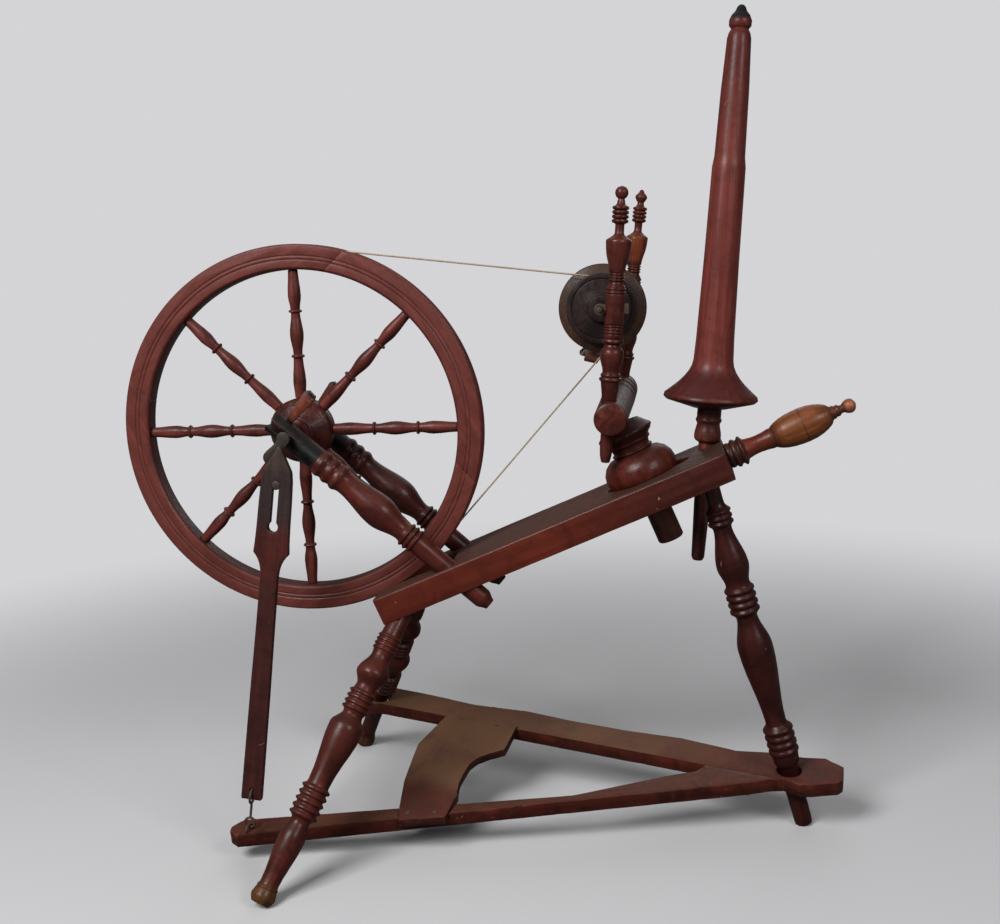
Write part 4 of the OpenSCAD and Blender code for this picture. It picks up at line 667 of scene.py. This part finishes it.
# Whorl, flyer and bobbin: a dark pulley with turned rings on its face, a two-armed flyer cut
# from one block, and a brown bobbin, all on the iron spindle.
spindle_middle = Vector(next(j["pos_m"] for j in frame["joints"] if j["name"] == "flyer_spin"))
whorl = worked("whorl", "turned_whorl", 0.0003)
mark_wear_and_shade(whorl)
dress(whorl, stained_wood(
    "whorl_stain", spindle_middle, across, (0.027, 0.014, 0.013), gloss=0.4, dust=0.1, worn=0.3,
    lathe=0.4, chips=0.2))
fit(whorl, "flyer", "wood_black", "whorl")
bobbin = worked("bobbin", "turned_bobbin", 0.0003)
mark_wear_and_shade(bobbin)
dress(bobbin, stained_wood(
    "bobbin_stain", spindle_middle, across, (0.065, 0.031, 0.018), gloss=0.5, dust=0.2, worn=0.4,
    lathe=0.4, chips=0.3))
fit(bobbin, "bobbin", "wood_brown", "bobbin")
flyer = worked("flyer", "carved_flyer", 0.0012)
mark_wear_and_shade(flyer)
dress(flyer, stained_wood(
    "flyer_stain", spindle_middle, across, (0.1, 0.03, 0.016), gloss=0.4, dust=0.15, worn=0.6))
fit(flyer, "flyer", "wood_red", "flyer")

# Treadle: two sawn bars, halved into each other at the right leg, and a waisted board let into
# them. Shoes have scoured the board and the bars' tops to bare, dusty wood.
pivot = Vector(next(j["axis"] for j in frame["joints"] if j["name"] == "treadle_rock"))
treadle_along = -pivot
treadle_side = Vector((0, 0, 1)).cross(treadle_along).normalized()
treadle_grid = 0.01
treadle_tones = {
    "treadle_far_bar": (0.075, 0.014, 0.008),
    "treadle_near_bar": (0.075, 0.0125, 0.007),
    "tread_board": (0.05, 0.012, 0.008),
}
treadle_dust = {"treadle_far_bar": 0.9, "treadle_near_bar": 0.3, "tread_board": 1.0}
scoured_tone = (0.13, 0.062, 0.032)
trodden_tone = (0.085, 0.023, 0.014)
waist = [(1, -0.058, 0.04, 0.0045)]
for node, tone in treadle_tones.items():
    board = worked(node, f"sawn_{node}", 0.0012,
                   [(treadle_along, treadle_grid), (treadle_side, treadle_grid)])
    if node == "tread_board":
        low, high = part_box(node)
        board_normal = max(board.data.polygons, key=lambda face: face.area).normal
        board_side = board_normal.cross(treadle_along).normalized()
        board_side *= 1 if board_side.y > 0 else -1
        board_along = board_side.cross(Vector((0, 0, 1))).normalized()
        for vertex in board.data.vertices:
            out = vertex.co - (low + high) / 2
            for edge_sign, middle, reach, depth in waist:
                bump = max(1 - ((out.dot(board_side) - middle) / reach) ** 2, 0)
                if out.dot(board_along) * edge_sign > 0.012:
                    vertex.co -= board_along * (edge_sign * depth * bump)
    mark_wear_and_shade(board)
    roughen(board, 0.0002, 0.02, 0.0006)
    start, axis, length = turning(node, across if node == "tread_board" else treadle_along)
    trodden = {"tread_board": (0.1, 0.06), "treadle_far_bar": (0.6 * length, 0.85 * length)}
    scoured = [(trodden_tone, *trodden[node])] if node in trodden else []
    dress(board, stained_wood(
        f"{node}_stain", start, axis, tone, gloss=0.48, dust=treadle_dust[node], worn=0.5, chips=0.7,
        settled=scoured_tone, scoured=scoured))
    fit(board, "treadle", "wood_worn" if node == "tread_board" else "wood_red", node)

# Footman: a flat board sawn to a lance shape, with a keyhole for the crank. Hands and grease
# have darkened its head.
def sawn(name, loops, thickness, edge):
    """Saw a flat board from its outline and holes, with its faces along local X and Y."""
    curve = bpy.data.curves.new(name, "CURVE")
    curve.dimensions = "2D"
    curve.fill_mode = "BOTH"
    curve.extrude = thickness / 2 - edge
    curve.bevel_depth = edge
    curve.bevel_resolution = 1
    curve.offset = -edge
    for loop in loops:
        line = curve.splines.new("POLY")
        line.points.add(len(loop) - 1)
        line.points.foreach_set("co", [number for point in loop for number in (*point, 0, 1)])
        line.use_cyclic_u = True
    board = bpy.data.objects.new(name, curve)
    scene.collection.objects.link(board)
    only(board)
    bpy.ops.object.convert(target="MESH")
    board = bpy.context.object
    only(board)
    bpy.ops.object.mode_set(mode="EDIT")
    bpy.ops.mesh.select_all(action="SELECT")
    bpy.ops.mesh.remove_doubles(threshold=0.00002)
    bpy.ops.object.mode_set(mode="OBJECT")
    return board


def arc(middle, radius, first, last, count=20):
    """Return the points of an arc, in the board's plane, between two angles in degrees."""
    turns = np.radians(np.linspace(first, last, count))
    return [(middle[0] + radius * math.cos(turn), middle[1] + radius * math.sin(turn)) for turn in turns]


foot_start, foot_axis, foot_run = turning("footman_board", upwards)
foot_pin = (pin_low + pin_high) / 2
foot_across = Vector((0, 1, 0)).cross(foot_axis).normalized()
foot_end = (foot_start - foot_pin).dot(foot_axis)
foot_thick = 0.009
keyhole_low = -0.05
keyhole_slot = 0.004
keyhole_reach = 0.0065
pin_reach = 0.0056
half_outline = [
    (0.0011, 0.0455), (0.0052, 0.0385), (0.0105, 0.0288), (0.0164, 0.018), (0.0172, 0.0155),
    (0.0186, 0.004), (0.0194, -0.02), (0.0198, -0.05), (0.0205, -0.07), (0.0214, -0.0815),
    (0.0208, -0.0828), (0.0178, -0.0862), (0.015, -0.0905), (0.0128, -0.0955), (0.0112, -0.102),
    (0.0105, -0.11), (0.0108, -0.17), (0.0118, -0.26), (0.0125, foot_end + 0.004), (0.0122, foot_end),
]
outline = half_outline + [(-across, up) for across, up in reversed(half_outline)]
slot_turn = math.degrees(math.asin(keyhole_slot / pin_reach))
eye_turn = math.degrees(math.asin(keyhole_slot / keyhole_reach))
keyhole = (arc((0, 0), pin_reach, -90 + slot_turn, 270 - slot_turn)
           + arc((0, keyhole_low), keyhole_reach, 90 + eye_turn, 450 - eye_turn))
hook_hole = arc((0, foot_end + 0.012), 0.0026, 0, 342)
footman = sawn("footman", [outline, keyhole, hook_hole], foot_thick, 0.0007)
footman.data.transform(
    Matrix.Translation(foot_pin) @ Matrix((foot_across, foot_axis, foot_across.cross(foot_axis)))
    .transposed().to_4x4())
for direction in (foot_axis, foot_across):
    cut_across(footman, direction, 0.004)
bpy.ops.object.shade_smooth_by_angle(angle=math.radians(40))
mark_wear_and_shade(footman)
dress(footman, stained_wood(
    "footman_stain", foot_start, foot_axis, (0.052, 0.0125, 0.01), gloss=0.46, dust=0.1, worn=0.4, figure=0.6,
    bands=[
        ((0.062, 0.011, 0.008), -foot_end - 0.13, -foot_end - 0.1),
        ((0.034, 0.02, 0.019), -foot_end - 0.07, -foot_end - 0.03),
        ((0.055, 0.033, 0.026), -foot_end + 0.012, -foot_end + 0.025),
    ]))
fit(footman, "footman", "wood_red", "footman_board")

# Distaff: a turned stem that stands in the table, and a long turned head with a flared skirt
# that the flax is tied round. Its tip is painted black.
stem_start, stem_axis, stem_length = turning("distaff_stem", upwards)
table_level = 0.143
stem_outline = [
    (-0.143, 0.006), (-0.139, 0.008), (-0.0715, 0.01), (0.005, 0.01), (0.0076, 0.0146), (0.0095, 0.0158),
    (0.012, 0.0163), (0.016, 0.0162), (0.02, 0.0155), (0.024, 0.0145), (0.0275, 0.0139), (0.0292, 0.0138),
    (0.0302, 0.0148), (0.032, 0.0157), (0.034, 0.0157), (0.0354, 0.0149), (0.0362, 0.0143), (0.038, 0.0146),
    (0.0478, 0.0146), (0.0482, 0.008), (stem_length - table_level, 0.008),
]
stem = lathe("distaff_stem_turned", stem_start, stem_axis,
             [(table_level + station, radius) for station, radius in stem_outline])
mark_wear_and_shade(stem)
# The stem's stain is lighter, partly as painted light against the shadow under the skirt.
dress(stem, stained_wood(
    "stem_stain", stem_start, stem_axis, (0.12, 0.03, 0.021), gloss=0.32, dust=0.15, worn=0.5, lathe=0.4))
fit(stem, "distaff", "wood_red", "distaff_stem")
head = worked("distaff_head", "distaff_head_turned", 0.0004)
mark_wear_and_shade(head)
head_start, head_axis, head_length = turning("distaff_head", upwards)
# The skirt keeps the dark base stain as painted shade against the top light. The bright middle is stain and a painted
# highlight together.
dress(head, stained_wood(
    "distaff_stain", head_start, head_axis, (0.08, 0.0135, 0.0105), gloss=0.4, dust=0.05, worn=0.5,
    lathe=0.5, figure=0.6, bands=[
        ((0.165, 0.033, 0.025), 0.07 * head_length, 0.13 * head_length),
        ((0.1, 0.019, 0.0145), 0.62 * head_length, 0.9 * head_length),
        (black_tone, 0.955 * head_length, 0.975 * head_length),
    ]))
fit(head, "distaff", "wood_red", "distaff_head")

# Drive band: a cream linen cord of two plies, laid in the grooves of the rim and the whorl. Its
# knot sits at the wheel's left, with frayed ends that stick out past the rim.
def strand(name, points, thickness, closed=False):
    """Make a round thread along some points."""
    curve = bpy.data.curves.new(name, "CURVE")
    curve.dimensions = "3D"
    curve.bevel_depth = thickness / 2
    curve.bevel_resolution = 1
    curve.use_fill_caps = not closed
    line = curve.splines.new("POLY")
    line.points.add(len(points) - 1)
    line.points.foreach_set("co", [number for point in points for number in (*point, 1)])
    line.use_cyclic_u = closed
    thread = bpy.data.objects.new(name, curve)
    scene.collection.objects.link(thread)
    only(thread)
    bpy.ops.object.convert(target="MESH")
    return bpy.context.object


def frayed(start, away, drop, length, curl):
    """Return the points of a loose thread that leaves along away and curls round drop."""
    side = away.cross(drop)
    points = []
    place = start.copy()
    for step in range(14):
        points.append(place.copy())
        angle = curl * step / 13
        place += (away * math.cos(angle) + drop * math.sin(angle) + side * 0.3 * math.sin(3 * angle)) * length / 13
    return points


band_low, band_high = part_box("drive_band")
band_thick = band_high.y - band_low.y
wheel_reach = wheel_middle.x - band_low.x - band_thick / 2
whorl_reach = band_high.x - spindle_middle.x - band_thick / 2
ply_thick = 0.56 * band_thick
ply_offset = 0.22 * band_thick
ply_turns = 440
samples_a_turn = 8

between = spindle_middle - wheel_middle
span = math.hypot(between.x, between.z)
aim = math.atan2(between.z, between.x)
opening = math.acos((wheel_reach - whorl_reach) / span)
free_run = math.sqrt(span ** 2 - (wheel_reach - whorl_reach) ** 2)
wheel_run = 2 * (math.pi - opening) * wheel_reach
whorl_run = 2 * opening * whorl_reach
band_run = wheel_run + whorl_run + 2 * free_run


def band_place(run):
    """Return the band's middle and its outward direction, after a run along it."""
    middle, reach, angle, slide = wheel_middle, wheel_reach, aim - opening, 0
    if run < wheel_run:
        angle = aim + opening + run / wheel_reach
    elif run < wheel_run + free_run:
        slide = run - wheel_run
    elif run < wheel_run + free_run + whorl_run:
        middle, reach = spindle_middle, whorl_reach
        angle = aim - opening + (run - wheel_run - free_run) / whorl_reach
    else:
        middle, reach, angle = spindle_middle, whorl_reach, aim + opening
        slide = run - wheel_run - free_run - whorl_run
    outward = Vector((math.cos(angle), 0, math.sin(angle)))
    tangent = Vector((-math.sin(angle), 0, math.cos(angle)))
    place = middle + outward * reach + tangent * slide
    place.y = (band_low.y + band_high.y) / 2
    return place, outward


plies = []
for ply in range(2):
    points = []
    count = ply_turns * samples_a_turn
    for step in range(count):
        place, outward = band_place(band_run * step / count)
        turn = 2 * math.pi * step / samples_a_turn + math.pi * ply
        points.append(place + (outward * math.cos(turn) + across * math.sin(turn)) * ply_offset)
    plies.append(strand(f"ply_{ply + 1}", points, ply_thick, closed=True))

knot_angle = math.radians(175)
knot_run = (knot_angle - aim - opening) % (2 * math.pi) * wheel_reach
knot_middle, knot_out = band_place(knot_run)
knot_along = across.cross(knot_out)
knot_middle += knot_out * 0.7 * band_thick
knot = [
    knot_middle + knot_along * (0.9 * band_thick * math.cos(turn) + 0.12 * band_thick * turn)
    + (knot_out * math.sin(turn) + across * math.cos(2 * turn)) * 0.6 * band_thick
    for turn in np.linspace(-5.5, 5.5, 45)
]
ends = [
    (0.0012, 0.012, 1.9), (0.0, 0.011, 3.4), (-0.0015, 0.0135, 2.6), (-0.006, 0.009, -2.2),
]
threads = [strand("knot", knot, 0.8 * ply_thick)]
for number, (drop, length, curl) in enumerate(ends):
    points = frayed(knot_middle + knot_along * drop, knot_out, knot_along, length, curl)
    threads.append(strand(f"fray_{number + 1}", points, 0.0006))
cord = bpy.data.materials.new("linen_cord")
cord.use_nodes = True
tree = cord.node_tree
shader = tree.nodes["Principled BSDF"]
place = add_node(tree, "ShaderNodeTexCoord").outputs["Object"]
fibres = mottle(tree, place, 1500, 2)
soiled = mottle(tree, place, 25, 3)
colour = mixed(tree, ranged(tree, fibres, 0.3, 0.7), (0.3, 0.22, 0.13, 1), (0.52, 0.42, 0.29, 1))
colour = mixed(tree, ranged(tree, soiled, 0.5, 0.75, 0, 0.6), colour, (0.2, 0.14, 0.08, 1))
tree.links.new(colour, shader.inputs["Base Color"])
shader.inputs["Roughness"].default_value = 0.85
only(*plies, *threads)
bpy.ops.object.join()
band = bpy.context.object
band.name = "band_cord"
dress(band, cord)
bpy.ops.object.shade_smooth()
fit(band, "frame", "cord", "drive_band")

# Studio: a plain pale floor that fades into a plain pale surround, and four large soft lamps.
# The camera and shiny things see the pale surround, and the rest is lit by the lamps.
def sees_backdrop(tree):
    """Return 1 for the rays that see the backdrop as it is, and 0 for the light on the object."""
    rays = add_node(tree, "ShaderNodeLightPath").outputs
    shiny = sums(tree, "MAXIMUM", rays["Is Glossy Ray"], rays["Is Transmission Ray"])
    dimmed = sums(tree, "MULTIPLY", shiny, shiny_share)
    return sums(tree, "MAXIMUM", rays["Is Camera Ray"], dimmed)


backdrop_tone = 0.66
floor_reach = 12.0
floor_clear = 0.7
floor_fade = 1.9
floor_bounce = 0.08
shiny_share = 0.1
bpy.ops.mesh.primitive_circle_add(vertices=96, radius=floor_reach, fill_type="NGON")
floor = bpy.context.object
floor.name = "floor"
floor_paint = bpy.data.materials.new("floor_paint")
floor_paint.use_nodes = True
tree = floor_paint.node_tree
shader = tree.nodes["Principled BSDF"]
shader.inputs["Roughness"].default_value = 0.9
place = add_node(tree, "ShaderNodeTexCoord").outputs["Object"]
distance = add_node(tree, "ShaderNodeVectorMath", {0: place}, operation="LENGTH").outputs["Value"]
glow = add_node(tree, "ShaderNodeEmission", {
    "Color": (backdrop_tone, backdrop_tone, backdrop_tone * 1.02, 1), "Strength": 1.0,
}).outputs[0]
seen = sees_backdrop(tree)
pale = mixed(tree, seen, (floor_bounce, floor_bounce, floor_bounce, 1), (0.62, 0.62, 0.63, 1))
tree.links.new(pale, shader.inputs["Base Color"])
share = sums(tree, "MULTIPLY", seen, ranged(tree, distance, floor_clear, floor_fade))
blend = add_node(tree, "ShaderNodeMixShader", {0: share, 1: shader.outputs[0], 2: glow})
tree.links.new(blend.outputs[0], tree.nodes["Material Output"].inputs["Surface"])
floor.data.materials.append(floor_paint)

world = bpy.data.worlds.new("surround")
world.use_nodes = True
scene.world = world
tree = world.node_tree
lit = tree.nodes["Background"]
lit.inputs["Color"].default_value = (0.95, 0.97, 1.0, 1)
lit.inputs["Strength"].default_value = 0.08
shown = add_node(tree, "ShaderNodeBackground", {
    "Color": (backdrop_tone, backdrop_tone, backdrop_tone * 1.02, 1), "Strength": 1.0,
})
seen = sees_backdrop(tree)
blend = add_node(tree, "ShaderNodeMixShader", {0: seen, 1: lit.outputs[0], 2: shown.outputs[0]})
tree.links.new(blend.outputs[0], tree.nodes["World Output"].inputs["Surface"])


def soft_lamp(name, place, power, size, tone=(1, 1, 1)):
    """Hang a square soft lamp that faces the wheel."""
    lamp = bpy.data.lights.new(name, "AREA")
    lamp.energy = power
    lamp.size = size
    lamp.color = tone
    hung = bpy.data.objects.new(name, lamp)
    scene.collection.objects.link(hung)
    aim = Vector((0, 0, 0.45)) - Vector(place)
    hung.matrix_world = Matrix.Translation(place) @ aim.to_track_quat("-Z", "Y").to_matrix().to_4x4()


soft_lamp("key_lamp", (-1.0, -1.7, 2.0), 60, 1.1)
soft_lamp("fill_lamp", (1.7, -1.7, 1.7), 22, 0.9)
soft_lamp("top_lamp", (0.1, 0.6, 2.5), 5, 2.0)
soft_lamp("back_lamp", (0.4, 2.0, 1.5), 6, 1.4)
